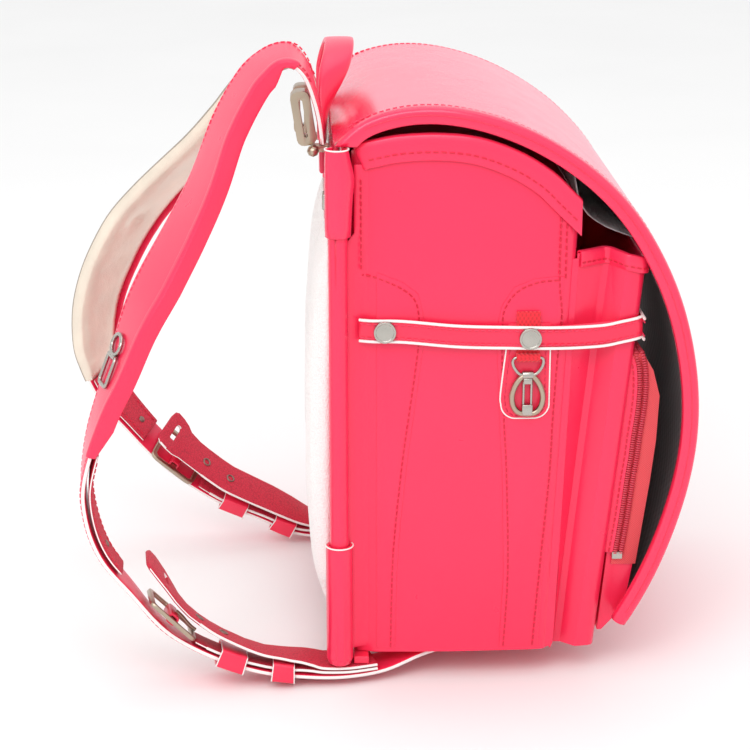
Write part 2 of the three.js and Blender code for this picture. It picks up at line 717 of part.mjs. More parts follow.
function strapFacing(side) {
  const rows = stationsFrom(facingSpan.from, facingSpan.to, 0.5).map((at) => strapFrame(side, at));
  return ribbon(rows, ({ half }) => flatSection(half - 0.8, padBelow, padBelow + strap.lining));
}

addPair("shoulder_strap", leather, strapBody);
addPair("shoulder_pad", goldLeather, strapPad);
addPair("strap_facing", roughLeather, strapFacing);

// Lower belts lie over the strap: the short inner belt through the keepers, and the long tail above them
// with its wide rounded tip. at is a row of the strap's table, lift the height over the strap.
const innerBelt = [
  { at: 22.2, lift: 4 },
  { at: 22.6, lift: 3.8 },
  { at: 23, lift: 3.7 },
  { at: 23.5, lift: 3.7 },
  { at: 24, lift: 3.7 },
  { at: 25, lift: 4 },
  { at: 25.5, lift: 4 },
  { at: 26, lift: 4 },
  { at: 26.5, lift: 4 },
  { at: 27, lift: 4.3 },
  { at: 27.5, lift: 4.2 },
  { at: 28, lift: 3.6 },
  { at: 29, lift: 3.3 },
  { at: 29.9, lift: 3.3 },
];
const tailBelt = [
  { at: 19.72, lift: 19.8, wide: 0.62 },
  { at: 19.8, lift: 19.7, wide: 0.88 },
  { at: 20, lift: 19.5, wide: 1 },
  { at: 20.35, lift: 19, wide: 1 },
  { at: 20.7, lift: 18.2, wide: 0.94 },
  { at: 21, lift: 17.4, wide: 0.8 },
  { at: 21.5, lift: 16.1, wide: 0.743 },
  { at: 22, lift: 15, wide: 0.743 },
  { at: 22.5, lift: 13.9, wide: 0.743 },
  { at: 23, lift: 13, wide: 0.743 },
  { at: 24, lift: 11.6, wide: 0.743 },
  { at: 25, lift: 10.6, wide: 0.743 },
  { at: 26, lift: 10.3, wide: 0.743 },
  { at: 26.5, lift: 9.8, wide: 0.743 },
  { at: 27, lift: 9.2, wide: 0.743 },
  { at: 27.5, lift: 7.9, wide: 0.743 },
  { at: 28, lift: 6.22, wide: 0.743 },
  { at: 29, lift: 5.8, wide: 0.743 },
  { at: 29.9, lift: 5.8, wide: 0.743 },
];

// Frames of a belt that is laid over the strap, each with the belt's own direction
function beltFrames(side, rows) {
  const strapFrames = rows.map(({ at }) => strapFrame(side, at));
  const points = strapFrames.map((frame, i) => place(frame, 0, rows[i].lift));
  return strapFrames.map((frame, i) => {
    const before = points[Math.max(i - 1, 0)];
    const after = points[Math.min(i + 1, points.length - 1)];
    const along = after.clone().sub(before).normalize();
    const wide = frame.wide.clone().addScaledVector(along, -along.dot(frame.wide)).normalize();
    return { point: points[i], along, wide, inward: along.clone().cross(wide) };
  });
}

// Puts a geometry made with its width on X, its length on Y and its thickness on Z into a band's frame
function intoFrame(geometry, frame) {
  const turned = new THREE.Matrix4().makeBasis(frame.wide, frame.along, frame.inward.clone().negate());
  return closed(geometry.applyMatrix4(turned).translate(frame.point.x, frame.point.y, frame.point.z));
}

const extruded = (points, thick, holes = []) => {
  const shape = outlineShape(points);
  shape.holes = holes.map((hole) => new THREE.Path(hole.map(([x, y]) => new THREE.Vector2(x, y))));
  const solid = new THREE.ExtrudeGeometry(shape, { depth: thick, bevelEnabled: false });
  return closed(solid.translate(0, 0, -thick / 2));
};

const beltHalf = belt.thick / 2;
const innerBody = (side) =>
  ribbon(beltFrames(side, innerBelt), () => flatSection(belt.wide / 2, -beltHalf, beltHalf));

function tailBody(side) {
  const frames = beltFrames(side, tailBelt);
  const halfAt = (i) => (tailBelt[i].wide * belt.tip) / 2;
  const strip = ribbon(frames, (_, i) => flatSection(halfAt(i), -beltHalf, beltHalf));
  // The slot across the wide tip, for the prong's end
  return cut(strip, intoFrame(extruded(roundedBox(17, 4.6, 2.2, 2), 12), frames[3]));
}

addPair("belt_inner", roughLeather, innerBody);
addPair("belt_tail", roughLeather, tailBody);

// Keepers: two leather sleeves round the strap and the inner belt
const keeperPlaces = [
  { from: 23.12, to: 24.2 },
  { from: 25.55, to: 26.6 },
];

function keeperBody(side, { from, to }) {
  const low = -strapHalf - keeper.play;
  const high = innerBelt[5].lift + beltHalf + keeper.play;
  const half = belt.wide / 2 + keeper.play;
  const sleeveOf = (rows, wall) =>
    ribbon(
      rows.map((at) => strapFrame(side, at)),
      () => flatSection(half + wall, low - wall, high + wall),
    );
  const middle = (from + to) / 2;
  const past = 0.3;
  const outer = sleeveOf([from, middle, to], keeper.wall);
  return cut(outer, sleeveOf([from - past, from, middle, to, to + past], 0));
}

keeperPlaces.forEach((where, i) =>
  addPair(`keeper_${i + 1}`, leather, (side) => keeperBody(side, where)),
);

// Buckles: a rectangular frame with a middle bar, between the strap and the tail belt, its wrap round the bar
const buckleAt = { row: 21.15, near: 8, far: 5.6 };
const buckleFrame = (side) => {
  const frame = strapFrame(side, buckleAt.row);
  return { ...frame, point: place(frame, 0, buckleAt[wordOf(side)]) };
};

addPair("buckle", champagne, (side) => {
  const half = buckle.long / 2;
  const inner = buckle.wide - 2 * buckle.bar;
  const window = (from, to) =>
    roundedBox(inner, to - from, 2, 1).map(([x, y]) => [x, y + (from + to) / 2]);
  const windows = [window(buckle.bar - half, -buckle.bar / 2), window(buckle.bar / 2, half - buckle.bar)];
  const plate = extruded(roundedBox(buckle.wide, buckle.long, 5), buckle.thick, windows);
  return intoFrame(plate, buckleFrame(side));
});

addPair("buckle_wrap", trimLeather, (side) => {
  const deep = buckle.thick + 3 * gap;
  const long = buckle.wide - 2 * buckle.bar - 6;
  const outer = extruded(roundedBox(buckle.bar + 3 * gap + 2.8, deep + 2.8, 1.6, 2), long);
  const hole = extruded(roundedBox(buckle.bar + 3 * gap, deep, 0.3, 1), long + 4);
  // Made with its bore along Z, then laid across the belt
  return intoFrame(cut(outer, hole).rotateZ(Math.PI / 2).rotateY(Math.PI / 2), buckleFrame(side));
});

// Anchors that hold the belts under the body, hidden and plain
addPair("belt_anchor", trimLeather, (side) => {
  const frame = strapFrame(side, 29.6);
  const low = place(frame, 0, tailBelt.at(-1).lift + beltHalf).z + 2 * gap;
  const top = body.low - gap;
  const box = new THREE.BoxGeometry(9, belt.wide - 2, top - low);
  return closed(box.translate(frame.point.x - 2, frame.point.y, (top + low) / 2));
});

// Flap: one long curve from the board over the top and down the front, with a turned rim on both sides.
// Shares of its reach and height, from the board's top edge.
const flapLine = [
  { out: -0.01, up: 0.93 },
  { out: 0.015, up: 0.955 },
  { out: 0.065, up: 0.977 },
  { out: 0.14, up: 0.993 },
  { out: 0.22, up: 1 },
  { out: 0.31, up: 0.997 },
  { out: 0.42, up: 0.981 },
  { out: 0.53, up: 0.953 },
  { out: 0.64, up: 0.912 },
  { out: 0.73, up: 0.866 },
  { out: 0.81, up: 0.81 },
  { out: 0.875, up: 0.745 },
  { out: 0.93, up: 0.672 },
  { out: 0.97, up: 0.59 },
  { out: 0.995, up: 0.5 },
  { out: 1, up: 0.415 },
  { out: 0.985, up: 0.33 },
  { out: 0.955, up: 0.25 },
  { out: 0.91, up: 0.165 },
  { out: 0.86, up: 0.095 },
  { out: 0.815, up: 0.045 },
];
// The flap reaches over the body, the small compartment and the full zip pocket, with some room
const flapReach = body.back + body.depth + small.depth + pocket.bulge + flap.room;
const flapSteps = 26;
const flapCurve = smooth(
  flapLine.map(({ out, up }) => xyz(out * flapReach, 0, lerp(flap.low, flap.top, up))),
  flapSteps,
);

// The curve moved inwards by a depth, over part of its length
function flapInset(depth, from = 0, to = 1, steps = flapSteps) {
  const curve = new THREE.CatmullRomCurve3(flapCurve);
  return Array.from({ length: steps }, (_, i) => {
    const t = lerp(from, to, i / (steps - 1));
    const point = curve.getPointAt(t);
    const along = curve.getTangentAt(t);
    const by = typeof depth === "function" ? depth(i / (steps - 1)) : depth;
    return [point.x + along.z * by, point.z - along.x * by];
  });
}

// The rim's section: how far outer and inner faces lie below the flap's surface, from the edge inwards
const rimRows = [
  { in: 0, outer: 0.34, inner: 0.82 },
  { in: 0.1, outer: 0.16, inner: 0.95 },
  { in: 0.35, outer: 0.03, inner: 1 },
  { in: 0.85, outer: 0, inner: 1 },
  { in: 1, outer: 0, inner: 0.305 },
];

function sheetRing(y, outer, inner, from, to, steps) {
  const top = flapInset(outer, from, to, steps);
  const below = flapInset(inner, from, to, steps).reverse();
  return [...top, ...below].map(([x, z]) => xyz(x, y, z));
}

function flapBody() {
  const stations = rimRows.map((row) => ({
    y: -flap.half + row.in * flap.rimWide,
    outer: row.outer * flap.rim,
    inner: Math.max(row.inner * flap.rim, flap.skin),
  }));
  const opposite = [...stations].reverse().map((row) => ({ ...row, y: -row.y }));
  return loft([...stations, ...opposite].map(({ y, outer, inner }) => sheetRing(y, outer, inner)));
}

// The rim stops above the top sleeves
function flapClear() {
  const top = sleeve.highTop + 2 * gap;
  const notch = (side) =>
    closed(
      new THREE.BoxGeometry(40, 30, 30).translate(0, side * (flap.half - flap.rimWide + 11), top - 15),
    );
  return cut(flapBody(), notch(-1), notch(1));
}

add("flap", flapClear(), leather());

// Steps of the flap's own curve, so that its lining follows the same facets
const flapShare = (step) => step / (flapSteps - 1);
const sheetOver = (half, outer, inner, first, last) =>
  loft(
    [-half, half].map((y) =>
      sheetRing(y, outer, inner, flapShare(first), flapShare(last), last - first + 1),
    ),
  );
const liningDepth = flap.skin + 2 * gap;
const liningBody = () =>
  sheetOver(flap.half - lining.margin, liningDepth, liningDepth + lining.thick, 1, flapSteps - 2);
add("flap_lining", liningBody(), darkLining());

// Timetable pocket: a mesh sheet under the lining that sags between its two seams
const sheetDepth = liningDepth + lining.thick + gap;
const sag = (t) => sheetDepth + sheet.sag * Math.sin(Math.PI * t);
const sheetBody = () => sheetOver(sheet.half, sag, (t) => sag(t) + sheet.thick, 8, 12);
add("timetable_pocket", sheetBody(), greyMesh());

// Flap tongue and lock under the bottom, hidden and plain
const [flapEnd, flapBefore] = flapInset(flap.skin / 2).slice(-2).reverse();
const lockTop = body.low - gap;
const tongueZ = lockTop - 5;

function tongueBody() {
  const end = xyz(flapEnd[0], 0, flapEnd[1]);
  const along = end.clone().sub(xyz(flapBefore[0], 0, flapBefore[1])).normalize();
  const route = new THREE.CatmullRomCurve3(
    [
      end.clone().addScaledVector(along, 2 * gap),
      end.clone().addScaledVector(along, 9),
      xyz(end.x - 15, 0, tongueZ + 1.5),
      xyz(lock.back + lock.long + 6, 0, tongueZ),
      xyz(lock.back + lock.long / 2, 0, tongueZ),
    ],
    false,
    "centripetal",
  );
  const rows = stationsFrom(0, 1, 0.1).map((t) => frameAt(route.getPoint(t), route.getTangent(t)));
  return ribbon(rows, () => flatSection(lock.wide / 2, -lock.tongue / 2, lock.tongue / 2));
}

add("flap_tongue", tongueBody(), leather());

function lockCase() {
  const box = (x0, x1, y, z0, z1) =>
    closed(new THREE.BoxGeometry(x1 - x0, 2 * y, z1 - z0).translate((x0 + x1) / 2, 0, (z0 + z1) / 2));
  const front = lock.back + lock.long;
  const reach = lock.tongue / 2 + 2 * gap;
  const mouthBack = lock.back + lock.long / 2 - 2 * gap;
  const mouth = box(mouthBack, front + 5, lock.wide / 2 + gap, tongueZ - reach, tongueZ + reach);
  return cut(box(lock.back, front, lock.half + 2, -body.stand, lockTop), mouth);
}

add("lock_case", lockCase(), nickel());

// Side band: a narrow strap along both side panels and round the small compartment's front
function bandStations() {
  const z = band.level;
  const skin = (x) => {
    const plan = bodyPlan(z);
    const half = plan.slice(0, plan.length / 2).filter(([, y]) => y > body.half - 9);
    for (let i = 0; i < half.length - 1; i += 1) {
      const [[x0, y0], [x1, y1]] = [half[i], half[i + 1]];
      if (x <= x1) return lerp(y0, y1, (x - x0) / (x1 - x0));
    }
    return half.at(-1)[1];
  };
  const off = band.off + band.thick / 2;
  const panelEnd = frontAt(z) - 14;
  const panelXs = [body.back + 4, body.back + 12, body.back + 30, body.back + 62, body.back + 95, panelEnd];
  const corner = smallFrontAt(z + band.height) + 2 * gap + band.thick / 2;
  const radius = 7;
  const half = [
    ...panelXs.map((x) => [x, skin(x) + off]),
    ...arc(corner - radius, small.half + 0.6 - radius + band.thick, radius, 90, 0, 3),
  ];
  return [...half, ...mirrored(half)];
}
// The band dips a little along the panel: shares of the way to the front, and of its height
const bandDip = [
  { along: 0, drop: 0 },
  { along: 0.2, drop: 0.03 },
  { along: 0.4, drop: 0.3 },
  { along: 0.85, drop: 0.45 },
  { along: 1, drop: 0.14 },
];

function sideBand() {
  const route = bandStations();
  const frontX = smallFrontAt(band.level);
  const rings = route.map(([x, y], i) => {
    const [px, py] = route[Math.max(i - 1, 0)];
    const [nx, ny] = route[Math.min(i + 1, route.length - 1)];
    const along = new THREE.Vector2(nx - px, ny - py).normalize();
    const out = [-along.y, along.x];
    const share = (x - body.back) / (frontX - body.back);
    const z = band.level + 0.5 - band.height * column(bandDip, "along", "drop", share);
    return flatSection(band.height / 2, -band.thick / 2, band.thick / 2).map(([u, v]) =>
      xyz(x + out[0] * v, y + out[1] * v, z + u),
    );
  });
  return loft(rings);
}

add("side_band", sideBand(), trimLeather());

const bandLevelAt = (x) => {
  const share = (x - body.back) / (smallFrontAt(band.level) - body.back);
  return band.level + 0.5 - band.height * column(bandDip, "along", "drop", share);
};

// The band's outer face along the side panel, at the higher end of a rivet's back
const bandRoute = bandStations();
const bandYAt = (x) => {
  const i = bandRoute.findIndex(([next]) => next > x);
  const [[x0, y0], [x1, y1]] = [bandRoute[i - 1], bandRoute[i]];
  return lerp(y0, y1, (x - x0) / (x1 - x0));
};

function rivetBody(side, x) {
  const back = Math.max(bandYAt(x - rivet.radius), bandYAt(x + rivet.radius));
  const face = back + band.thick / 2 + gap;
  const profile = [
    [0, 0],
    [rivet.radius, 0],
    [rivet.radius, rivet.proud * 0.55],
    [rivet.radius * 0.86, rivet.proud],
    [0, rivet.proud],
  ].map(([r, h]) => new THREE.Vector2(r, h));
  const cap = new THREE.LatheGeometry(profile, 12).scale(1, side, 1);
  return closed(cap.translate(x, side * face, bandLevelAt(x)));
}

addPair("rivet_back", nickel, (side) => rivetBody(side, rivet.back));
addPair("rivet_front", nickel, (side) => rivetBody(side, rivet.front));

// Hook tab on the near side panel: a leather tab, a webbing loop, a ring and a snap hook that hang free
const panelFace = body.half;

function tabBody() {
  const half = tab.wide / 2;
  const top = band.level + band.height / 2 - 3;
  const outline = [
    [tab.middle - half + 4, top],
    [tab.middle - half + 3, tab.low + 44],
    [tab.middle - half, tab.low + 12],
    ...arc(tab.middle - half + 9, tab.low + 9, 9, 180, 270, 4),
    ...arc(tab.middle + half - 9, tab.low + 9, 9, 270, 360, 4),
    [tab.middle + half, top],
  ];
  return sidePrism(outline, -panelFace - gap - tab.thick, -panelFace - gap);
}

add("hook_tab", tabBody(), trimLeather());

const webBack = panelFace + gap + tab.thick + gap;
const barY = -(webBack + web.thick + ring.bar + gap + 0.15);
const loopOuter = ring.bar + gap + 0.15 + web.thick;

function webbingBody() {
  // A strip under the band and a loop round the ring's top bar
  const strip = sidePrism(
    [
      [tab.middle + 1 - web.wide / 2, ring.level - loopOuter + 0.5],
      [tab.middle + 1 + web.wide / 2, ring.level - loopOuter + 0.5],
      [tab.middle + 1 + web.wide / 2, web.top],
      [tab.middle + 1 - web.wide / 2, web.top],
    ],
    -webBack - web.thick,
    -webBack,
  );
  const tube = (radius, long) => {
    const rod = new THREE.CylinderGeometry(radius, radius, long, 12);
    return closed(rod.rotateZ(Math.PI / 2).translate(tab.middle + 1, barY, ring.level));
  };
  return cut(join(strip, tube(loopOuter, web.wide)), tube(loopOuter - web.thick, web.wide + 4));
}

add("hook_webbing", webbingBody(), webbing());

const hookX = tab.middle + 1;
const lowBar = ring.level - ring.height + 2 * ring.bar;

function ringBody() {
  const half = ring.wide / 2 - ring.bar;
  const low = lowBar - ring.level;
  // Half of the ring: shares of its half width and of its height
  const right = [
    [0.5, 0],
    [0.92, 0],
    [1, 0.22],
    [0.9, 0.55],
    [0.62, 0.9],
    [0.42, 1],
  ];
  const halfPoints = right.map(([x, z]) => xyz(x * half, 0, z * low));
  const otherHalf = right.map(([x, z]) => xyz(-x * half, 0, z * low)).reverse();
  const route = new THREE.CatmullRomCurve3([...halfPoints, ...otherHalf], true, "catmullrom", 0.35);
  const tube = closed(new THREE.TubeGeometry(route, 24, ring.bar, 6, true));
  return tube.translate(hookX, barY, ring.level);
}

add("hook_ring", ringBody(), nickel());

function hookBody() {
  const top = lowBar;
  const low = top - hook.height;
  const half = hook.wide / 2;
  const drop = (shrink) => [
    [3.4 - shrink * 0.35, top - 1 - shrink],
    [half * 0.82 - shrink * 0.9, lerp(top, low, 0.32)],
    [half - shrink, lerp(top, low, 0.6)],
    [half * 0.8 - shrink * 0.8, lerp(top, low, 0.87)],
    [half * 0.36 - shrink * 0.2, low + shrink],
  ];
  const loopOutline = (shrink) => {
    const right = drop(shrink);
    return [...right, ...right.map(([x, z]) => [-x, z]).reverse()];
  };
  const y0 = barY - hook.thick / 2;
  const plate = sidePrism(loopOutline(0), y0, y0 + hook.thick);
  const hole = sidePrism(loopOutline(hook.rim), y0 - 5, y0 + hook.thick + 5);
  const block = (z0, z1, deep) =>
    sidePrism(
      [
        [-hook.block / 2, z0],
        [hook.block / 2, z0],
        [hook.block / 2, z1],
        [-hook.block / 2, z1],
      ],
      barY - deep / 2,
      barY + deep / 2,
    );
  const boreRadius = ring.bar + ring.play;
  const head = block(top - 4.6, top, 2 * boreRadius + 1.6);
  const hub = closed(
    new THREE.CylinderGeometry(boreRadius + 1, boreRadius + 1, hook.block, 12)
      .rotateZ(Math.PI / 2)
      .translate(0, barY, top),
  );
  const foot = block(low - 0.6, low + 7.6, 4.4);
  const bore = closed(
    new THREE.CylinderGeometry(boreRadius, boreRadius, hook.block + 6, 12)
      .rotateZ(Math.PI / 2)
      .translate(0, barY, top),
  );
  const rods = [-1, 1].map((sign) =>
    closed(new THREE.BoxGeometry(1.3, 1.6, hook.height - 10).translate(sign * 3.7, barY, lerp(top, low, 0.46))),
  );
  const hollow = cut(plate, hole);
  return cut(join(hollow, head, hub, foot, ...rods), bore).translate(hookX, 0, 0);
}

add("snap_hook", hookBody(), nickel());

// Handle: a strap that lies flat on the board at both ends and turns over the top
const handleRows = [
  { side: -1, up: 0, turn: 0, x: -0.42 },
  { side: -1, up: 0.34, turn: 0, x: -0.42 },
  { side: -0.97, up: 0.56, turn: 14, x: -0.38 },
  { side: -0.86, up: 0.76, turn: 48, x: -0.16 },
  { side: -0.62, up: 0.9, turn: 80, x: 0.1 },
  { side: -0.3, up: 0.98, turn: 90, x: 0.2 },
];

function handleBody() {
  const back = [...handleRows].reverse().map((row) => ({ ...row, side: -row.side, turn: 180 - row.turn }));
  const middle = { side: 0, up: 1, turn: 90, x: 0.22 };
  const rows = [...handleRows, middle, ...back];
  const points = rows.map(({ side, up, x }) =>
    xyz(x * handle.wide, side * handle.half, lerp(handle.low, handle.top, up)),
  );
  const rings = points.map((point, i) => {
    const before = points[Math.max(i - 1, 0)];
    const after = points[Math.min(i + 1, points.length - 1)];
    const along = after.clone().sub(before).normalize();
    // In the YZ plane: out points away from the loop's middle, and the width turns from it to +X
    const out = along.clone().cross(xyz(1, 0, 0)).normalize();
    const flat = xyz(1, 0, 0).addScaledVector(along, -along.x).normalize();
    const turn = THREE.MathUtils.degToRad(rows[i].turn);
    const wide = out.clone().multiplyScalar(Math.cos(turn)).addScaledVector(flat, Math.sin(turn));
    const thick = along.clone().cross(wide);
    return flatSection(handle.wide / 2, -handle.thick / 2, handle.thick / 2).map(([u, v]) =>
      point.clone().addScaledVector(wide, u).addScaledVector(thick, v),
    );
  });
  return loft(rings);
}

add("handle", handleBody(), leather());

// Strap hangers: a plate on the board, a slotted champagne loop for each strap and its pin with a round knob
const plateFace = -board.thick / 2 - gap;
// The near loop leans back from the board with the strap that it holds; the far one stands closer
const loopPlaces = {
  near: { x: -16.5, low: 321, lean: 9 },
  far: { x: -19, low: 300, lean: 1 },
};

function plateBody() {
  const face = plateFace - hanger.plate;
  const outline = [
    [face, hanger.foot - 34],
    [plateFace, hanger.foot - 34],
    [plateFace, board.top - 1],
    [face, board.top - 1],
  ];
  return sidePrism(outline, -hanger.side - 12, hanger.side + 12);
}

add("hanger_plate", plateBody(), nickel());

addPair("hanger_loop", champagne, (side) => {
  const { x, low, lean } = loopPlaces[wordOf(side)];
  const wide = 2 * hanger.leg + hanger.slot;
  const slot = roundedBox(hanger.slot, hanger.tall - 2 * hanger.leg, 1, 1);
  const bar = extruded(roundedBox(wide, hanger.tall, 4, 3), hanger.wide, [slot]);
  bar.rotateX(Math.PI / 2).translate(0, 0, hanger.tall / 2).rotateY(-THREE.MathUtils.degToRad(lean));
  return closed(bar.translate(x, side * hanger.side, low));
});

addPair("hanger_pin", champagne, (side) => {
  const { x, low } = loopPlaces[wordOf(side)];
  const z = low - hanger.footTall / 2 - 2 * gap;
  const knobX = x + 3;
  const rod = new THREE.CylinderGeometry(1.6, 1.6, hanger.wide + 8, 6).translate(knobX, side * hanger.side, z);
  const knob = new THREE.SphereGeometry(hanger.knob, 8, 6);
  knob.translate(knobX, side * (hanger.side + hanger.wide / 2 + 3), z);
  const end = plateFace - hanger.plate - gap;
  const foot = new THREE.BoxGeometry(end - knobX, 8, hanger.footTall).translate((knobX + end) / 2, side * hanger.side, z);
  return join(closed(rod), closed(knob), closed(foot));
});

// Strap clips: a chrome plate with an oval eye and a square frame, flat on each strap's outer side
addPair("strap_clip", nickel, (side) => {
  const half = clip.long / 2;
  const shift = (points, by) => points.map(([x, y]) => [x, y + by]);
  const eye = shift(roundedBox(clip.wide, clip.eye, clip.eye / 2 - 1, 2), clip.eye / 2 - half);
  const square = shift(roundedBox(clip.wide - 2, clip.frame, 3, 2), half - clip.frame / 2);
  const plates = join(extruded(eye, clip.thick), extruded(square, clip.thick));
  const holes = [eye, square].map((points) => extruded(grow(points, -clip.bar), clip.thick * 3));
  const frame = strapFrame(side, 12.9);
  const lift = -strapHalf - 3 * gap - clip.thick / 2;
  return intoFrame(cut(plates, ...holes), { ...frame, point: place(frame, -side * clip.off, lift) });
});

// Square studs at the board's shoulders
addPair("board_stud", nickel, (side) => {
  const box = new THREE.BoxGeometry(stud.proud, stud.size, stud.size);
  const x = plateFace - hanger.plate - gap - stud.proud / 2;
  return closed(box.translate(x, side * (hanger.side - 8), hanger.foot - 31.5));
});

// The origin is at the middle of the footprint, on the ground
const bounds = new THREE.Box3().setFromObject(group);
const middle = bounds.getCenter(new THREE.Vector3());
group.position.set(-middle.x, 0, -bounds.min.z);
group.updateMatrixWorld(true);

export default group;
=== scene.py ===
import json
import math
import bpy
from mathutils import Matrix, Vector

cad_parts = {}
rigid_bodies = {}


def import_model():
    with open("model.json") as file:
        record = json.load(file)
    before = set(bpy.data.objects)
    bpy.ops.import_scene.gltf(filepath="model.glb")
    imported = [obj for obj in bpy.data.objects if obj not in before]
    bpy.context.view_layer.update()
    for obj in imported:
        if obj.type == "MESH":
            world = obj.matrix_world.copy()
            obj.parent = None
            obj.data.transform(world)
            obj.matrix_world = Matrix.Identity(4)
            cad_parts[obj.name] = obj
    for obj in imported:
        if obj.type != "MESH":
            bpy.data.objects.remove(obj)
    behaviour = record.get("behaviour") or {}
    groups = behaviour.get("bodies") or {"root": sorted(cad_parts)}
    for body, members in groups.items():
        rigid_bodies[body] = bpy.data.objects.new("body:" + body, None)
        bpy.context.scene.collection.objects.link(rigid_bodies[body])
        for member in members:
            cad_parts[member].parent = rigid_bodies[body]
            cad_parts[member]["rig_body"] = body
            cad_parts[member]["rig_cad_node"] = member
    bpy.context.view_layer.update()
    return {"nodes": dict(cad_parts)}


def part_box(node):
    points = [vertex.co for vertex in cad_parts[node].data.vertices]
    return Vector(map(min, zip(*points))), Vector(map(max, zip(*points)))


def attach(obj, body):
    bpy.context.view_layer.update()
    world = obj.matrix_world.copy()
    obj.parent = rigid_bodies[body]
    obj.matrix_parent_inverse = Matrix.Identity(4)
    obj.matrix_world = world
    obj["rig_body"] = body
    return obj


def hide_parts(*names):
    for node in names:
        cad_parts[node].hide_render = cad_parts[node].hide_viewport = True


bl_info = {
    "name": "School Ransel",
    "version": (1, 0, 0),
    "blender": (4, 5, 0),
    "location": "View3D > Sidebar > Ransel",
    "description": "Dresses the frame of a stiff leather school backpack with its finished pieces",
    "category": "Add Mesh",
}

from contextlib import contextmanager

import bpy
from mathutils import Matrix, Vector

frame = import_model()

MM = 0.001
BODY = "ransel"
SIDES = (("near", -1), ("far", 1))
HANDS = (("left", -1), ("right", 1))

# The board's middle plane and the body's foot place every table of this file in the frame
board_low, board_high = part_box("back_board")
BOARD_X = (board_low.x + board_high.x) / 2 / MM
FOOT = 14.0
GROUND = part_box("main_shell")[0].z / MM - FOOT


def spot(x, y, z):
    """A place in metres, from millimetres in front of the board, across and up."""
    return Vector(((x + BOARD_X) * MM, y * MM, (z + GROUND) * MM))


# Selection and editing
def only(*objects):
    """Selects these objects alone and makes the first one active."""
    bpy.ops.object.select_all(action="DESELECT")
    for each in objects:
        each.select_set(True)
    bpy.context.view_layer.objects.active = objects[0]


@contextmanager
def editing(piece, mode="FACE"):
    only(piece)
    bpy.ops.object.mode_set(mode="EDIT")
    bpy.ops.mesh.select_mode(type=mode)
    bpy.ops.mesh.select_all(action="SELECT")
    yield
    bpy.ops.object.mode_set(mode="OBJECT")


def modify(piece, kind, **values):
    """Adds one modifier with its settings and applies it."""
    only(piece)
    bpy.ops.object.modifier_add(type=kind)
    added = piece.modifiers[-1]
    for key, value in values.items():
        setattr(added, key, value)
    bpy.ops.object.modifier_apply(modifier=added.name)


def broken_edges(piece, width, segments, angle):
    """Bevels the edges that turn more than an angle in degrees."""
    turn = math.radians(angle)
    modify(piece, "BEVEL", width=width * MM, segments=segments, limit_method="ANGLE", angle_limit=turn)


def smooth(piece, angle):
    only(piece)
    bpy.ops.object.shade_smooth_by_angle(angle=math.radians(angle))


def named(name):
    """Gives the active object and its mesh their name."""
    piece = bpy.context.active_object
    piece.name = name
    piece.data.name = name
    return piece


def applied():
    """Writes the active piece's place, turn and scale into its mesh."""
    bpy.ops.object.transform_apply(location=True, rotation=True, scale=True)


@contextmanager
def editing_faces(piece, looks):
    """Edits the faces whose direction passes a test, and leaves the others unselected."""
    with editing(piece):
        bpy.ops.mesh.select_all(action="DESELECT")
    for face in piece.data.polygons:
        face.select = looks(face.normal)
    only(piece)
    bpy.ops.object.mode_set(mode="EDIT")
    yield
    bpy.ops.object.mode_set(mode="OBJECT")


def settle(piece, material, replaces=(), body=BODY):
    """Gives a finished piece its material and its body, and hides the nodes that it stands for."""
    only(piece)
    applied()
    piece.data.materials.clear()
    piece.data.materials.append(material)
    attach(piece, body)
    if replaces:
        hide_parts(*replaces)
    return piece


# Copies of the frame's solids
def merged_copy(node, name, quads=True):
    """A free copy of a frame's solid, its triangles joined to quads or to whole flat faces."""
    only(frame["nodes"][node])
    bpy.ops.object.duplicate()
    piece = named(name)
    piece.parent = None
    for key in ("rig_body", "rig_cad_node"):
        del piece[key]
    with editing(piece, "VERT"):
        bpy.ops.mesh.remove_doubles(threshold=0.00002)
        if quads:
            bpy.ops.mesh.tris_convert_to_quads(face_threshold=math.radians(50), shape_threshold=math.pi)
        else:
            bpy.ops.mesh.dissolve_limited(angle_limit=math.radians(1.2))
    return piece


def soft_copy(node, material, sharp=50, crease=0.9, levels=2, body=BODY):
    """A rounded leather or cloth piece from a solid that was skinned over rings."""
    piece = merged_copy(node, f"{node}_skin")
    with editing(piece, "EDGE"):
        bpy.ops.mesh.select_all(action="DESELECT")
        bpy.ops.mesh.edges_select_sharp(sharpness=math.radians(sharp))
        bpy.ops.transform.edge_crease(value=crease)
    modify(piece, "SUBSURF", levels=levels, render_levels=levels)
    smooth(piece, 60)
    return settle(piece, material, (node,), body)


def edged_copy(node, material, edge=0.8, segments=3):
    """A stiff piece from a cut solid, with its sharp edges broken."""
    piece = merged_copy(node, f"{node}_skin", quads=False)
    broken_edges(piece, edge, segments, 38)
    smooth(piece, 40)
    return settle(piece, material, (node,))


# Lines: tubes, rows of stitches and rows of any small piece
def drawn_path(points, closed=False):
    """A curve object through the given places."""
    bpy.ops.curve.primitive_nurbs_path_add(location=(0, 0, 0))
    path = bpy.context.active_object
    path.data.splines.clear()
    spline = path.data.splines.new("POLY")
    spline.points.add(len(points) - 1)
    for point, place in zip(spline.points, points):
        point.co = (*place, 1)
    spline.use_cyclic_u = closed
    path.data.dimensions = "3D"
    path.data.twist_mode = "MINIMUM"
    return path


def tube(name, points, radius, material, closed=False, body=BODY, sides=3):
    """A round rod, cord or edge along a line of places."""
    path = drawn_path(points, closed)
    path.data.bevel_depth = radius * MM
    path.data.bevel_resolution = sides
    path.data.use_fill_caps = not closed
    only(path)
    bpy.ops.object.convert(target="MESH")
    piece = named(name)
    smooth(piece, 50)
    return settle(piece, material, (), body)


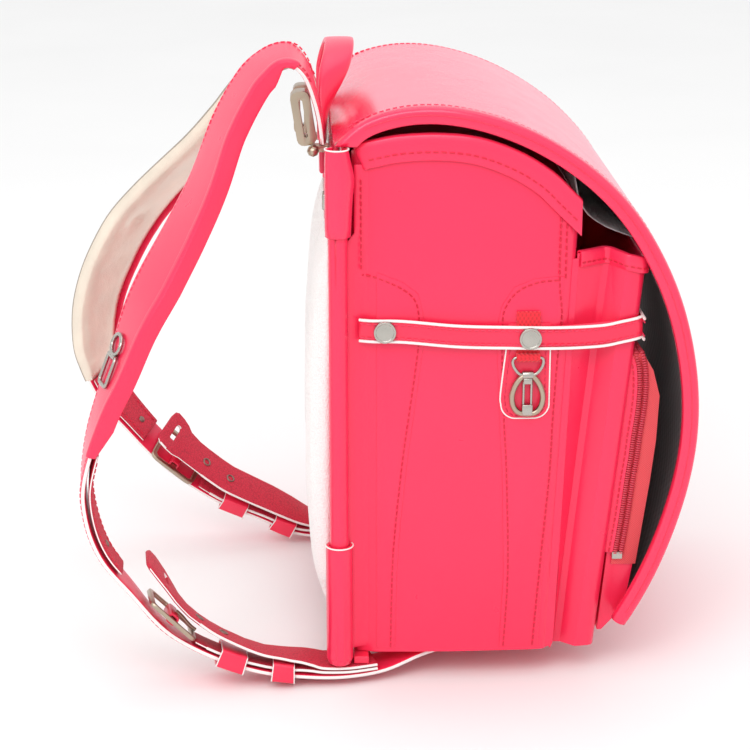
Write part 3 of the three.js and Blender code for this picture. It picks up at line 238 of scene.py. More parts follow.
def curve_through(points, count=60, closed=False):
    """Evenly spaced places on a smooth curve through the given ones."""
    dense = []
    last = len(points) if closed else len(points) - 1
    for i in range(last):
        a, b = points[i], points[(i + 1) % len(points)]
        before = points[i - 1] if closed or i > 0 else a
        after = points[(i + 2) % len(points)] if closed or i + 2 < len(points) else b
        for step in range(12):
            t = step / 12
            m0, m1 = (b - before) * 0.5, (after - a) * 0.5
            h = 2 * t**3 - 3 * t**2 + 1
            k = t**3 - 2 * t**2 + t
            dense.append(a * h + m0 * k + b * (1 - h) + m1 * (t**3 - t**2))
    dense.append(points[0] if closed else points[-1])
    lengths = [0.0]
    for a, b in zip(dense, dense[1:]):
        lengths.append(lengths[-1] + (b - a).length)
    spaced = []
    at = 0
    for n in range(count):
        goal = lengths[-1] * n / (count if closed else count - 1)
        while at < len(dense) - 2 and lengths[at + 1] < goal:
            at += 1
        span = lengths[at + 1] - lengths[at]
        share = (goal - lengths[at]) / span if span else 0
        spaced.append(dense[at].lerp(dense[at + 1], min(max(share, 0), 1)))
    return spaced


def row_of(unit, name, points, spacing, material):
    """Repeats a small piece along a path. The unit lies along X from the origin."""
    length = sum((b - a).length for a, b in zip(points, points[1:]))
    count = max(int(length / (spacing * MM)), 1)
    path = drawn_path(points)
    only(unit)
    unit = named(name)
    modify(
        unit,
        "ARRAY",
        count=count,
        use_relative_offset=False,
        use_constant_offset=True,
        constant_offset_displace=(length / count, 0, 0),
    )
    modify(unit, "CURVE", object=path, deform_axis="POS_X")
    bpy.data.objects.remove(path)
    smooth(unit, 60)
    return settle(unit, material)


def stitch_unit(long, radius):
    """One thread of a seam: a short round bar with tapered ends."""
    middle = long * MM * 0.5
    bpy.ops.mesh.primitive_cylinder_add(
        vertices=6,
        radius=radius * MM,
        depth=long * MM * 0.44,
        location=(middle, 0, 0),
        rotation=(0, math.pi / 2, 0),
    )
    unit = bpy.context.active_object
    applied()
    with editing_faces(unit, lambda normal: abs(normal.x) > 0.9):
        bpy.ops.mesh.extrude_faces_move(TRANSFORM_OT_shrink_fatten={"value": long * MM * 0.1})
        bpy.ops.mesh.inset(thickness=radius * MM * 0.55, use_individual=True)
        bpy.ops.mesh.select_all(action="DESELECT")
    return unit


def stitches(name, points, material, long=None, count=None):
    """A row of stitches along a line of places."""
    sizes = bpy.context.scene.ransel_sizes
    long = long or sizes.stitch / MM
    line = curve_through(points, count or max(len(points) * 8, 24))
    return row_of(stitch_unit(long, sizes.thread / MM), name, line, long, material)


def shaped_sheet(name, place_at, across, along, thick, material):
    """A sheet drawn as a grid, laid where place_at says and then given its thickness."""
    bpy.ops.mesh.primitive_grid_add(x_subdivisions=across, y_subdivisions=along, size=2)
    piece = named(name)
    for vertex in piece.data.vertices:
        vertex.co = place_at((vertex.co.x + 1) / 2, (vertex.co.y + 1) / 2)
    modify(piece, "SOLIDIFY", thickness=thick * MM, offset=0.0)
    broken_edges(piece, thick * 0.3, 2, 50)
    smooth(piece, 45)
    return settle(piece, material)


def step_at(rows, share):
    """The row before a share of the way along a list, and how far past it that is."""
    at = min(max(share, 0.0), 1.0) * (len(rows) - 1)
    i = min(int(at), len(rows) - 2)
    return i, at - i


def mixed(rows, share):
    """The numbers of a list of rows at a share of the way."""
    i, past = step_at(rows, share)
    return [a + (b - a) * past for a, b in zip(rows[i], rows[i + 1])]


def between(places, share):
    """A place on a list of places, by its share of the way."""
    i, past = step_at(places, share)
    return places[i].lerp(places[i + 1], past)


# Materials: one class wraps a socket so that shader maths reads as sums
class Value:
    def __init__(self, maker, socket):
        self.maker = maker
        self.socket = socket

    def _math(self, operation, a, b=0.0):
        return self.maker.node("ShaderNodeMath", {"operation": operation}, {0: a, 1: b})

    def __add__(self, other):
        return self._math("ADD", self, other)

    def __rsub__(self, other):
        return self._math("SUBTRACT", other, self)

    def __mul__(self, other):
        return self._math("MULTIPLY", self, other)

    def power(self, other):
        return self._math("POWER", self, other)

    def wave(self):
        return self._math("SINE", self)


class Finish:
    """A material whose nodes are made through one method."""

    def __init__(self, name, roughness=0.5, **sockets):
        self.material = bpy.data.materials.new(name)
        self.material.use_nodes = True
        self.tree = self.material.node_tree
        self.shader = self.tree.nodes["Principled BSDF"]
        self.shader.inputs["Roughness"].default_value = roughness
        for key, value in sockets.items():
            self.shader.inputs[key.replace("_", " ")].default_value = value

    def node(self, kind, settings=None, values=None, output=0):
        made = self.tree.nodes.new(kind)
        for key, value in (settings or {}).items():
            setattr(made, key, value)
        for key, value in (values or {}).items():
            if isinstance(value, Value):
                self.tree.links.new(value.socket, made.inputs[key])
            else:
                made.inputs[key].default_value = value
        return Value(self, made.outputs[output])

    def place(self):
        return self.node("ShaderNodeTexCoord", output="Object")

    def stretched(self, scale):
        return self.node("ShaderNodeMapping", None, {"Vector": self.place(), "Scale": scale})

    def noise(self, scale, detail, at=None):
        values = {"Vector": at or self.place(), "Scale": scale, "Detail": detail}
        return self.node("ShaderNodeTexNoise", None, values)

    def cells(self, scale, feature="F1"):
        values = {"Vector": self.place(), "Scale": scale}
        return self.node("ShaderNodeTexVoronoi", {"feature": feature}, values)

    def mix(self, share, first, second):
        values = {0: share, 6: first, 7: second}
        return self.node("ShaderNodeMix", {"data_type": "RGBA"}, values, output=2)

    def bump(self, height, strength, distance):
        values = {"Height": height, "Strength": strength, "Distance": distance * MM}
        return self.node("ShaderNodeBump", None, values)

    def give(self, **values):
        for key, value in values.items():
            self.tree.links.new(value.socket, self.shader.inputs[key.replace("_", " ")])
        return self.material


def shade(colour, share):
    return tuple(part * share for part in colour[:3]) + (1.0,)


def full(colour):
    return (*colour[:3], 1.0)


# The faint rose that the leather's polish adds to what it reflects
COAT_TINT = (1.0, 0.82, 0.98, 1.0)


def smooth_leather(name, colour, roughness=0.3, grain=0.16, coat=0.25):
    """Coated leather: fine pores, a faint cloudiness and soft polish."""
    made = Finish(name, roughness, Coat_Weight=coat, Coat_Roughness=0.22, Specular_IOR_Level=0.5)
    made.shader.inputs["Coat Tint"].default_value = COAT_TINT
    made.shader.inputs["Specular Tint"].default_value = COAT_TINT
    cloud = made.noise(22, 3)
    base = made.mix(cloud, shade(colour, 0.93), shade(colour, 1.05))
    pores = made.cells(1500) * 0.7 + made.noise(2600, 2) * 0.5
    gloss = made.noise(60, 3) * 0.12 + (roughness - 0.06)
    return made.give(Base_Color=base, Roughness=gloss, Normal=made.bump(pores, grain, 0.25))


def pebbled_leather(name, colour):
    """Rough lining leather: raised pebbles, with painted shade darkening the creases between them."""
    made = Finish(name, 0.6, Specular_IOR_Level=0.4)
    pebbles = made.cells(520)
    # Painted shade: the creases between the pebbles are coloured down to 0.55 of the leather.
    crease = made.cells(520, feature="DISTANCE_TO_EDGE")
    mask = (crease * 9.0).power(0.6)
    base = made.mix(mask, shade(colour, 0.55), full(colour))
    height = 1.0 - pebbles + made.noise(1700, 2) * 0.4
    return made.give(Base_Color=base, Normal=made.bump(height, 0.5, 0.5))


def soft_gold(name, colour):
    """Pearly champagne leather with fine grain and crumpled sheen."""
    made = Finish(name, 0.3, Metallic=0.8, Coat_Weight=0.4, Coat_Roughness=0.25)
    cloud = made.noise(45, 4)
    base = made.mix(cloud, shade(colour, 0.82), shade(colour, 1.12))
    height = made.noise(140, 4) * 1.2 + made.cells(1300) * 0.25
    gloss = made.noise(90, 3) * 0.25 + 0.25
    return made.give(Base_Color=base, Roughness=gloss, Normal=made.bump(height, 0.35, 1.0))


def mesh_cloth(name, colour, scale=900, depth=0.35):
    """Knitted mesh: rows of small round openings."""
    made = Finish(name, 0.8, Sheen_Weight=0.25)
    holes = made.cells(scale)
    mask = (holes * 1.9).power(3.0)
    base = made.mix(mask, shade(colour, 0.93), full(colour))
    return made.give(Base_Color=base, Normal=made.bump(mask, depth, 0.4))


def woven(name, colour, scale=(900, 900, 900), depth=0.5):
    """Plain weave from crossed threads."""
    made = Finish(name, 0.75, Sheen_Weight=0.2)
    at = made.stretched(scale)
    split = made.node("ShaderNodeSeparateXYZ", None, {0: at})
    x, y, tall = [Value(made, socket) for socket in split.socket.node.outputs]
    wide = x + y
    threads = tall.wave() * wide.wave() * 0.5 + 0.5
    base = made.mix(threads, shade(colour, 0.7), shade(colour, 1.08))
    return made.give(Base_Color=base, Normal=made.bump(threads, depth, 0.4))


def brushed_metal(name, colour, roughness=0.24):
    """Plated fittings with hairline wear."""
    made = Finish(name, roughness, Metallic=1.0)
    lines = made.noise(70, 4, made.stretched((1, 8, 1)))
    base = made.mix(lines, shade(colour, 0.86), shade(colour, 1.1))
    gloss = lines * 0.16 + (roughness - 0.06)
    return made.give(Base_Color=base, Roughness=gloss, Normal=made.bump(made.noise(900, 2), 0.06, 0.1))


def thread_cord(name, colour):
    """Twisted sewing thread."""
    made = Finish(name, 0.55)
    ply = made.noise(3000, 2)
    base = made.mix(ply, shade(colour, 0.8), shade(colour, 1.1))
    return made.give(Base_Color=base, Normal=made.bump(ply, 0.3, 0.2))


def raw_edge(name, colour):
    """Painted edges and piping: matt cream with faint scuffs."""
    made = Finish(name, 0.5)
    scuff = made.noise(320, 4)
    base = made.mix(scuff, shade(colour, 0.9), full(colour))
    return made.give(Base_Color=base, Normal=made.bump(made.noise(1400, 3), 0.15, 0.2))


finishes = {}


def make_finishes():
    tint = bpy.context.scene.ransel_colours
    finishes.update(
        leather=smooth_leather("pink_leather", tint.leather),
        glossy=smooth_leather("glossy_pink_leather", tint.leather, 0.2, 0.08, 0.5),
        trim=smooth_leather("trim_leather", tint.trim, 0.34, 0.2),
        rough=pebbled_leather("pebbled_red_leather", tint.rough),
        gold=soft_gold("champagne_leather", tint.gold),
        # A half-bright copy of the gold leather: painted shade for the dark lines along the pads' edges.
        gold_edge=soft_gold("shaded_champagne_edge", shade(tint.gold, 0.5)[:3]),
        white_mesh=mesh_cloth("white_pad_mesh", tint.mesh),
        lining=woven("dark_lining_cloth", tint.lining),
        grey_mesh=mesh_cloth("grey_pocket_mesh", tint.grey, 700, 0.4),
        zip_cloth=woven("zip_tape_cloth", tint.zip_cloth, (4200, 4200, 5200), 0.4),
        zip_teeth=smooth_leather("zip_coil", tint.zip_teeth, 0.3, 0.05),
        webbing=woven("red_webbing", tint.webbing, (2600, 2600, 1500), 0.8),
        nickel=brushed_metal("satin_nickel", tint.nickel),
        champagne=brushed_metal("champagne_plating", tint.champagne, 0.3),
        dark_metal=brushed_metal("aged_eyelet_metal", tint.aged, 0.35),
        thread=thread_cord("pink_thread", tint.thread),
        red_thread=thread_cord("red_thread", tint.red_thread),
        edge=raw_edge("cream_edge", tint.edge),
    )


# The straps' route: in front of the board, across, up, share of the width, and turn in degrees
STRAP_ROWS = {
    "near": [
        (-7.9, 72, 322.1, 0.56, 0),
        (-9.5, 72, 337.9, 0.56, 0),
        (-13, 72, 352.1, 0.66, 2),
        (-16.6, 72, 364.9, 0.85, 4),
        (-24, 72, 373.5, 0.98, 8),
        (-34, 72, 373.5, 1.02, 9),
        (-43.4, 73, 367.5, 1.05, 12),
        (-52.6, 75, 357.4, 1.05, 15),
        (-66.1, 80, 333.4, 1.05, 17),
        (-77.6, 89, 303, 1.05, 18),
        (-90.9, 95, 276, 1.05, 20.5),
        (-107.5, 103, 246.4, 1.05, 23.5),
        (-119.5, 108, 223.5, 1, 21),
        (-130, 112, 196.1, 0.92, 16),
        (-138.6, 115, 177, 0.86, 13),
        (-145.5, 116.5, 157.9, 0.8, 11),
        (-150.1, 117, 140.6, 0.72, 7.5),
        (-152.6, 117, 121.1, 0.66, 3),
        (-149.1, 117, 97.1, 0.62, 1),
        (-140.9, 117, 76.9, 0.61, 3),
        (-126.9, 117, 58.9, 0.605, 6),
        (-110.5, 117, 36, 0.605, 10),
        (-94.5, 117, 22.9, 0.605, 12),
        (-77.1, 117, 13.5, 0.605, 12),
        (-62, 117, 7.5, 0.605, 12),
        (-49, 117, 3.8, 0.605, 11),
        (-36, 117, 1.9, 0.605, 9),
        (-23, 117, 1.5, 0.605, 5),
        (-10, 117, 1.5, 0.605, 1),
        (4.1, 115.9, 1.5, 0.605, 0),
        (22, 112, 1.9, 0.605, 0),
        (34, 108, 4.5, 0.605, 0),
        (46, 104, 9, 0.605, 0),
        (57, 101, 11.2, 0.605, 0),
    ],
    "far": [
        (-7.9, 72, 306, 0.56, 0),
        (-8.8, 72, 322.1, 0.56, 0),
        (-11, 72, 334.9, 0.62, -2),
        (-16.1, 71, 345, 0.85, -4),
        (-25, 71, 351, 0.98, -6),
        (-35, 71, 351.4, 1.02, -10),
        (-45, 72, 346.1, 1.05, -14),
        (-57, 75, 332.6, 1.05, -18),
        (-70, 79, 313.5, 1.05, -22),
        (-88, 84, 290.6, 1.05, -26),
        (-118.5, 90, 258.4, 1.05, -32),
        (-137.1, 95, 235.1, 1.05, -36),
        (-152.9, 100, 205.5, 1, -38),
        (-162.6, 104.9, 177.4, 0.92, -38),
        (-165.5, 107.1, 151.9, 0.84, -37),
        (-163.9, 110, 135, 0.76, -35),
        (-158.5, 113, 115.9, 0.7, -32),
        (-150.9, 115.9, 100.9, 0.66, -29),
        (-143, 117, 90, 0.63, -28),
        (-135.5, 117, 80.6, 0.61, -28),
        (-127.6, 117, 71.2, 0.605, -28),
        (-114.9, 117, 58.1, 0.605, -28),
        (-98, 117, 44.6, 0.605, -27),
        (-79.4, 117, 32.2, 0.605, -26),
        (-64.1, 117, 25.1, 0.605, -25),
        (-49, 117, 18, 0.605, -23),
        (-36, 117, 10.5, 0.605, -18),
        (-23, 117, 4.1, 0.605, -10),
        (-10, 117, 1.5, 0.605, -2),
        (4.1, 115.9, 1.5, 0.605, 0),
        (22, 112, 1.9, 0.605, 0),
        (34, 108, 4.5, 0.605, 0),
        (46, 104, 9, 0.605, 0),
        (57, 101, 11.2, 0.605, 0),
    ],
}
STRAP_WIDE = 43.0
STRAP_HALF = 1.8
INNER_BELT = [
    (22.2, 4), (22.6, 3.8), (23, 3.7), (23.5, 3.7), (24, 3.7), (25, 4), (25.5, 4),
    (26, 4), (26.5, 4), (27, 4.3), (27.5, 4.2), (28, 3.6), (29, 3.3), (29.9, 3.3),
]
TAIL_BELT = [
    (19.72, 19.8, 0.62), (19.8, 19.7, 0.88), (20, 19.5, 1), (20.35, 19, 1), (20.7, 18.2, 0.94),
    (21, 17.4, 0.8), (21.5, 16.1, 0.743), (22, 15, 0.743), (22.5, 13.9, 0.743), (23, 13, 0.743),
    (24, 11.6, 0.743), (25, 10.6, 0.743), (26, 10.3, 0.743), (26.5, 9.8, 0.743), (27, 9.2, 0.743),
    (27.5, 7.9, 0.743), (28, 6.22, 0.743), (29, 5.8, 0.743), (29.9, 5.8, 0.743),
]
BELT_HALF = 12.6
BUCKLE_ROW = 21.15
BUCKLE_LIFT = {"near": 8.0, "far": 5.6}
KEEPER_ROWS = ((23.12, 24.2), (25.55, 26.6))


def table(rows, at, column=1):
    """A value from a table whose first column rises, straight between its rows."""
    if at <= rows[0][0]:
        return rows[0][column]
    for a, b in zip(rows, rows[1:]):
        if at <= b[0]:
            return a[column] + (b[column] - a[column]) * (at - a[0]) / (b[0] - a[0])
    return rows[-1][column]


def strap_point(word, at):
    """The place and direction of a strap's route at a row of its table."""
    rows = STRAP_ROWS[word]
    sign = -1 if word == "near" else 1
    points = [Vector((x, sign * y, z)) for x, y, z, _, _ in rows]
    i = min(int(at), len(points) - 2)
    t = at - i
    p1, p2 = points[i], points[i + 1]
    p0 = points[i - 1] if i > 0 else p1 * 2 - p2
    p3 = points[i + 2] if i + 2 < len(points) else p2 * 2 - p1
    m1, m2 = (p2 - p0) * 0.5, (p3 - p1) * 0.5
    place = p1 * (2 * t**3 - 3 * t**2 + 1) + m1 * (t**3 - 2 * t**2 + t)
    place += p2 * (3 * t**2 - 2 * t**3) + m2 * (t**3 - t**2)
    along = p1 * (6 * t**2 - 6 * t) + m1 * (3 * t**2 - 4 * t + 1)
    along += p2 * (6 * t - 6 * t**2) + m2 * (3 * t**2 - 2 * t)
    return place, along.normalized()


def strap_frame(word, at):
    """A station of a strap: its middle, its three directions and half its width."""
    place, along = strap_point(word, at)
    rows = [(i, wide, turn) for i, (_, _, _, wide, turn) in enumerate(STRAP_ROWS[word])]
    across = (Vector((0, 1, 0)) - along * along.y).normalized()
    through = along.cross(across)
    angle = math.radians(table(rows, at, 2))
    wide = across * math.cos(angle) - through * math.sin(angle)
    half = table(rows, at) * STRAP_WIDE / 2
    return {"point": place, "along": along, "wide": wide, "inward": along.cross(wide), "half": half}


def laid(station, u, v, w=0.0):
    """A place u across, v through and w along from a band's station."""
    place = station["point"] + station["wide"] * u + station["inward"] * v + station["along"] * w
    return spot(*place)


def belt_frames(word, rows):
    """A belt's stations, each at a row of the strap's route and a depth inside it."""
    stations = [strap_frame(word, row[0]) for row in rows]
    points = [s["point"] + s["inward"] * row[1] for s, row in zip(stations, rows)]
    made = []
    for i, station in enumerate(stations):
        along = (points[min(i + 1, len(points) - 1)] - points[max(i - 1, 0)]).normalized()
        wide = (station["wide"] - along * along.dot(station["wide"])).normalized()
        made.append({"point": points[i], "along": along, "wide": wide, "inward": along.cross(wide)})
    return made


def cream_edges(piece, stations, material, least=0.72):
    """Gives the faces that look sideways out of a band its painted edge."""
    piece.data.materials.append(material)
    places = [(spot(*s["point"]), s["wide"]) for s in stations]
    for face in piece.data.polygons:
        _, wide = min(places, key=lambda pair: (pair[0] - face.center).length_squared)
        if abs(face.normal.dot(wide)) > least:
            face.material_index = len(piece.data.materials) - 1


def span(start, stop, step):
    return [start + step * i for i in range(int(round((stop - start) / step)) + 1)]


# The body's plan: how far its front stands out at a height, and the side panel's place
FRONT_LEAN = [(0, 0.905), (0.02, 0.915), (0.3, 0.94), (0.6, 0.965), (0.78, 0.985), (0.88, 1), (1.1, 1.01)]


BODY_BACK = 8.2
BODY_DEEP = 133
BODY_TALL = 320


def front_at(z):
    """How far in front of the board the main compartment's front is at a height."""
    return BODY_BACK + BODY_DEEP * table(FRONT_LEAN, (z - FOOT) / BODY_TALL)


def panel_at(x, z):
    """How far out the side panel is at a place, from its back corner to its front one."""
    front = front_at(z)
    middle = BODY_BACK + (front - BODY_BACK) / 2
    plan = [(BODY_BACK, 113.5), (10.7, 117), (22.2, 120.3), (middle, 121.5)]
    plan += [(front - 14, 120.5), (front - 5.8, 119.9)]
    return table(plan, x)


def on_panel(points, side, proud=0.15):
    return [spot(x, side * (panel_at(x, z) + proud), z) for x, z in points]


# The side panel's seams, its crown, and the height at which the seams end
SEAM_LOW = 17
BACK_SEAM = [
    (12, 252.6), (20, 252), (35, 246), (44, 239), (47, 229), (47, 210),
    (42, 170), (38, 139), (34, 99), (32, 68), (31, SEAM_LOW),
]
INNER_SEAM = [
    (129, 249), (117, 248), (105, 243), (98, 234), (96, 225), (96, 200), (98, 161),
    (100, 130), (102, 67), (100, SEAM_LOW),
]
FRONT_SEAM = [
    (129, 287), (129, 249), (131, 225), (129, 202), (127, 163), (126, 130), (122, 75), (118, SEAM_LOW),
]
CROWN = [
    (9.8, 326.6), (16.2, 329.2), (34.8, 333), (58.7, 334), (81.4, 331.4), (104, 323.1),
    (122.6, 311.6), (135.9, 298.8), (141.6, 293.3), (156, 279.4),
]
# The binding's section: how far it stands off the panel, and its height over the crown
BINDING_SECTION = [
    (1.5, -13.4), (1.75, -12.6), (1.75, -1.5), (1.1, 0.9), (-1.2, 1.6), (-3.2, 0.6), (-3.4, -5),
]
CROWN_LINE = curve_through([Vector((x, 0, z)) for x, z in CROWN], 100)


def crown_place(share, height, out, side):
    """A place on the side panel's crown, moved square to its curve."""
    here = between(CROWN_LINE, share)
    along = (between(CROWN_LINE, share + 0.02) - between(CROWN_LINE, share - 0.02)).normalized()
    x, z = here.x - along.z * height, here.z + along.x * height
    return spot(x, side * (panel_at(min(x, 139), z) + out), z)


def crown_end(height):
    """The share of the crown at which a line at this height meets the panel's front edge."""
    low, high = 0.6, 1.0
    for _ in range(24):
        middle = (low + high) / 2
        if crown_place(middle, height, 0, 1).x / MM - BOARD_X > 140.9:
            high = middle
        else:
            low = middle
    return low


PATCH_THICK = 0.45


def thin_patch(name, outline, side):
    """A flat layer of leather on the side panel, from its outline."""
    path = drawn_path(on_panel(outline, side, 0.04), True)
    only(path)
    bpy.ops.object.convert(target="MESH")
    piece = named(name)
    with editing(piece, "VERT"):
        bpy.ops.mesh.edge_face_add()
        bpy.ops.mesh.extrude_region_move(TRANSFORM_OT_translate={"value": (0, side * PATCH_THICK * MM, 0)})
        bpy.ops.mesh.select_all(action="SELECT")
        bpy.ops.mesh.normals_make_consistent(inside=False)
    broken_edges(piece, 0.3, 2, 50)
    smooth(piece, 40)
    settle(piece, finishes["leather"])


# Lamps: name, place in metres, size and energy. The camera: place in front of the board, across and up
LAMPS = (
    ("key_light", (-1.1, -1.7, 1.7), 1.2, 13),
    ("fill_light", (1.6, -1.2, 1.0), 1.4, 1.5),
    ("top_light", (0.2, 0.2, 2.2), 1.6, 6),
    ("near_light", (0.0, -0.85, 0.95), 0.5, 2.2),
)
LAMP_AIM = Vector((0, 0, 0.18))
CAMERA_PLACE = (-22.15, -1292.93, 562.83)
CAMERA_DOWN = 17.524
CAMERA_ASIDE = -2.132
CAMERA_LENS = 100.5


# Stage
class RANSEL_OT_stage(bpy.types.Operator):
    """Make the floor, the soft lights and the camera"""

    bl_idname = "ransel.stage"
    bl_label = "Stage"

    def execute(self, context):
        view = context.scene.view_settings
        view.view_transform = "Standard"
        bpy.ops.mesh.primitive_plane_add(size=12, location=(0, 0, -0.0003))
        floor = named("studio_floor")
        pale = Finish("pale_floor", 0.9)
        tone = pale.mix(pale.noise(3, 2), (0.86, 0.86, 0.86, 1), (0.9, 0.9, 0.9, 1))
        floor.data.materials.append(pale.give(Base_Color=tone))
        world = bpy.data.worlds.new("studio_sky")
        context.scene.world = world
        world.use_nodes = True
        sky = world.node_tree.nodes["Background"].inputs
        sky["Color"].default_value = (1, 1, 1, 1)
        sky["Strength"].default_value = 1.0
        for name, place, size, energy in LAMPS:
            bpy.ops.object.light_add(type="AREA", location=place)
            lamp = named(name)
            lamp.data.size = size
            lamp.data.energy = energy
            aim = LAMP_AIM - Vector(place)
            lamp.rotation_euler = aim.to_track_quat("-Z", "Y").to_euler()
        tilt = (math.radians(90 - CAMERA_DOWN), 0, math.radians(CAMERA_ASIDE))
        bpy.ops.object.camera_add(location=spot(*CAMERA_PLACE), rotation=tilt)
        camera = bpy.context.active_object
        camera.name = "side_camera"
        camera.data.lens = CAMERA_LENS
        camera.data.sensor_width = 36
        camera.data.clip_start = 0.05
        context.scene.camera = camera
        return {"FINISHED"}


class RANSEL_OT_body(bpy.types.Operator):
    """Make the main compartment with its bindings, patches and seams"""

    bl_idname = "ransel.body"
    bl_label = "Main compartment"

    def execute(self, context):
        edged_copy("main_shell", finishes["leather"])
        for word, side in SIDES:
            self.binding(word, side)
            self.margin(word, side)
            patch = [(x + 2.6, z + (2.6 if z > 236 else 0)) for x, z in BACK_SEAM if x > 15]
            outline = [(22.4, SEAM_LOW), (22.4, patch[0][1]), *patch[1:]]
            thin_patch(f"back_patch_{word}", outline, side)
            inner = [(x - 2.4, z + (2 if x > 100 and z > 240 else 0)) for x, z in INNER_SEAM]
            corners = [(front_at(z) - 8, z) for z in (SEAM_LOW, 160)]
            outline = [(131.5, 251), *inner, *corners, (131, 240)]
            thin_patch(f"front_patch_{word}", outline, side)
            for name, line in (("back", BACK_SEAM), ("inner", INNER_SEAM), ("front", FRONT_SEAM)):
                stitches(f"{name}_seam_{word}", on_panel(line, side, 0.55), finishes["red_thread"])
            second = [(x + 3.6, z) for x, z in FRONT_SEAM if z > 240]
            stitches(f"crown_seam_{word}", on_panel(second, side, 0.2), finishes["red_thread"])
            reach = crown_end(-8.6) - 0.05
            seam = [crown_place(0.03 + reach * i / 30, -8.6, 2.3, side) for i in range(31)]
            stitches(f"binding_seam_{word}", seam, finishes["red_thread"], 4.6)
        return {"FINISHED"}

    def binding(self, word, side):
        """The leather strip that is turned over the panel's crown."""

        rows = [(out, height, crown_end(height)) for out, height in BINDING_SECTION]

        def place_at(u, v):
            out, height, end = mixed(rows, v)
            return crown_place(u * end, height, out, side)

        name = f"top_binding_{word}"
        strip = shaped_sheet(f"{name}_skin", place_at, 70, 18, 1.0, finishes["leather"])
        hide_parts(name)

    def margin(self, word, side):
        """The panel's sewn margin, which meets the board's rolled edge."""

        def place_at(u, v):
            z = 18 + 300 * u
            back = 7.5 if z < 88 else 5.2 if z < 277 else 9.5
            x = back + (18.5 - back) * v
            rise = 121.5 if z < 277 else 119.4 + 2.1 * min(v / 0.5, 1)
            blend = v * v * (3 - 2 * v)
            return spot(x, side * (rise + (panel_at(x, z) - 0.5 - rise) * blend), z)

        shaped_sheet(f"panel_margin_{word}", place_at, 60, 8, 0.8, finishes["leather"])
        seam = [spot(13.5, side * 121.2, z) for z in range(256, 312, 6)]
        stitches(f"margin_seam_{word}", seam, finishes["red_thread"])


# The stuffing: the remesh's voxel, the cloth's inner pressure, its frames and how far a point may move
PAD_VOXEL = 5.0
PAD_PRESSURE = 2.5
PAD_FRAMES = 20
PAD_CAP = 4.0


def padded_copy(node, material):
    """A stuffed piece: the solid is remeshed, swollen as cloth under pressure and capped."""
    piece = merged_copy(node, f"{node}_skin")
    modify(piece, "REMESH", mode="VOXEL", voxel_size=PAD_VOXEL * MM)
    modify(piece, "SMOOTH", factor=0.5, iterations=4)
    start = [vertex.co.copy() for vertex in piece.data.vertices]
    only(piece)
    bpy.ops.object.modifier_add(type="CLOTH")
    cloth = piece.modifiers[-1]
    cloth.settings.quality = 5
    cloth.settings.use_pressure = True
    cloth.settings.uniform_pressure_force = PAD_PRESSURE
    cloth.settings.effector_weights.gravity = 0
    cloth.point_cache.frame_start = 1
    cloth.point_cache.frame_end = PAD_FRAMES
    for number in range(1, PAD_FRAMES + 1):
        bpy.context.scene.frame_set(number)
    bpy.ops.object.modifier_apply(modifier=cloth.name)
    bpy.context.scene.frame_set(1)
    for vertex, was in zip(piece.data.vertices, start):
        moved = vertex.co - was
        if moved.length > PAD_CAP * MM:
            vertex.co = was + moved.normalized() * PAD_CAP * MM
    modify(piece, "SUBSURF", levels=1, render_levels=1)
    smooth(piece, 180)
    settle(piece, material, (node,))
    return piece


class RANSEL_OT_board(bpy.types.Operator):
    """Make the back board with its rolled edges, corner sleeves and padded back"""

    bl_idname = "ransel.board"
    bl_label = "Back board"

    def execute(self, context):
        soft_copy("back_board", finishes["leather"], 60, 0.95)
        for word, side in SIDES:
            soft_copy(f"top_sleeve_{word}", finishes["glossy"], 60, 0.8)
            edged_copy(f"bottom_sleeve_{word}", finishes["leather"], 0.5)
            self.sleeve_edge(f"top_sleeve_edge_{word}", side, 328, 7.3, 0.88)
            self.sleeve_edge(f"bottom_sleeve_edge_{word}", side, 87, 8.2, 1)
        pad = padded_copy("back_pad", finishes["white_mesh"])
        face = spot(-2.9, 0, 0).x
        for vertex in pad.data.vertices:
            vertex.co.x = min(vertex.co.x, face)
        return {"FINISHED"}

    def sleeve_edge(self, name, side, z, radius, front):
        """The painted edge round a sleeve's mouth, flatter at the front by a share."""
        ring = []
        for step in range(25):
            angle = math.radians(-35 + step * 250 / 24)
            x = radius * math.cos(angle)
            y = side * (125 + radius * math.sin(angle))
            ring.append(spot(x * front if x > 0 else x, y, z))
        tube(name, ring, 0.45, finishes["edge"])


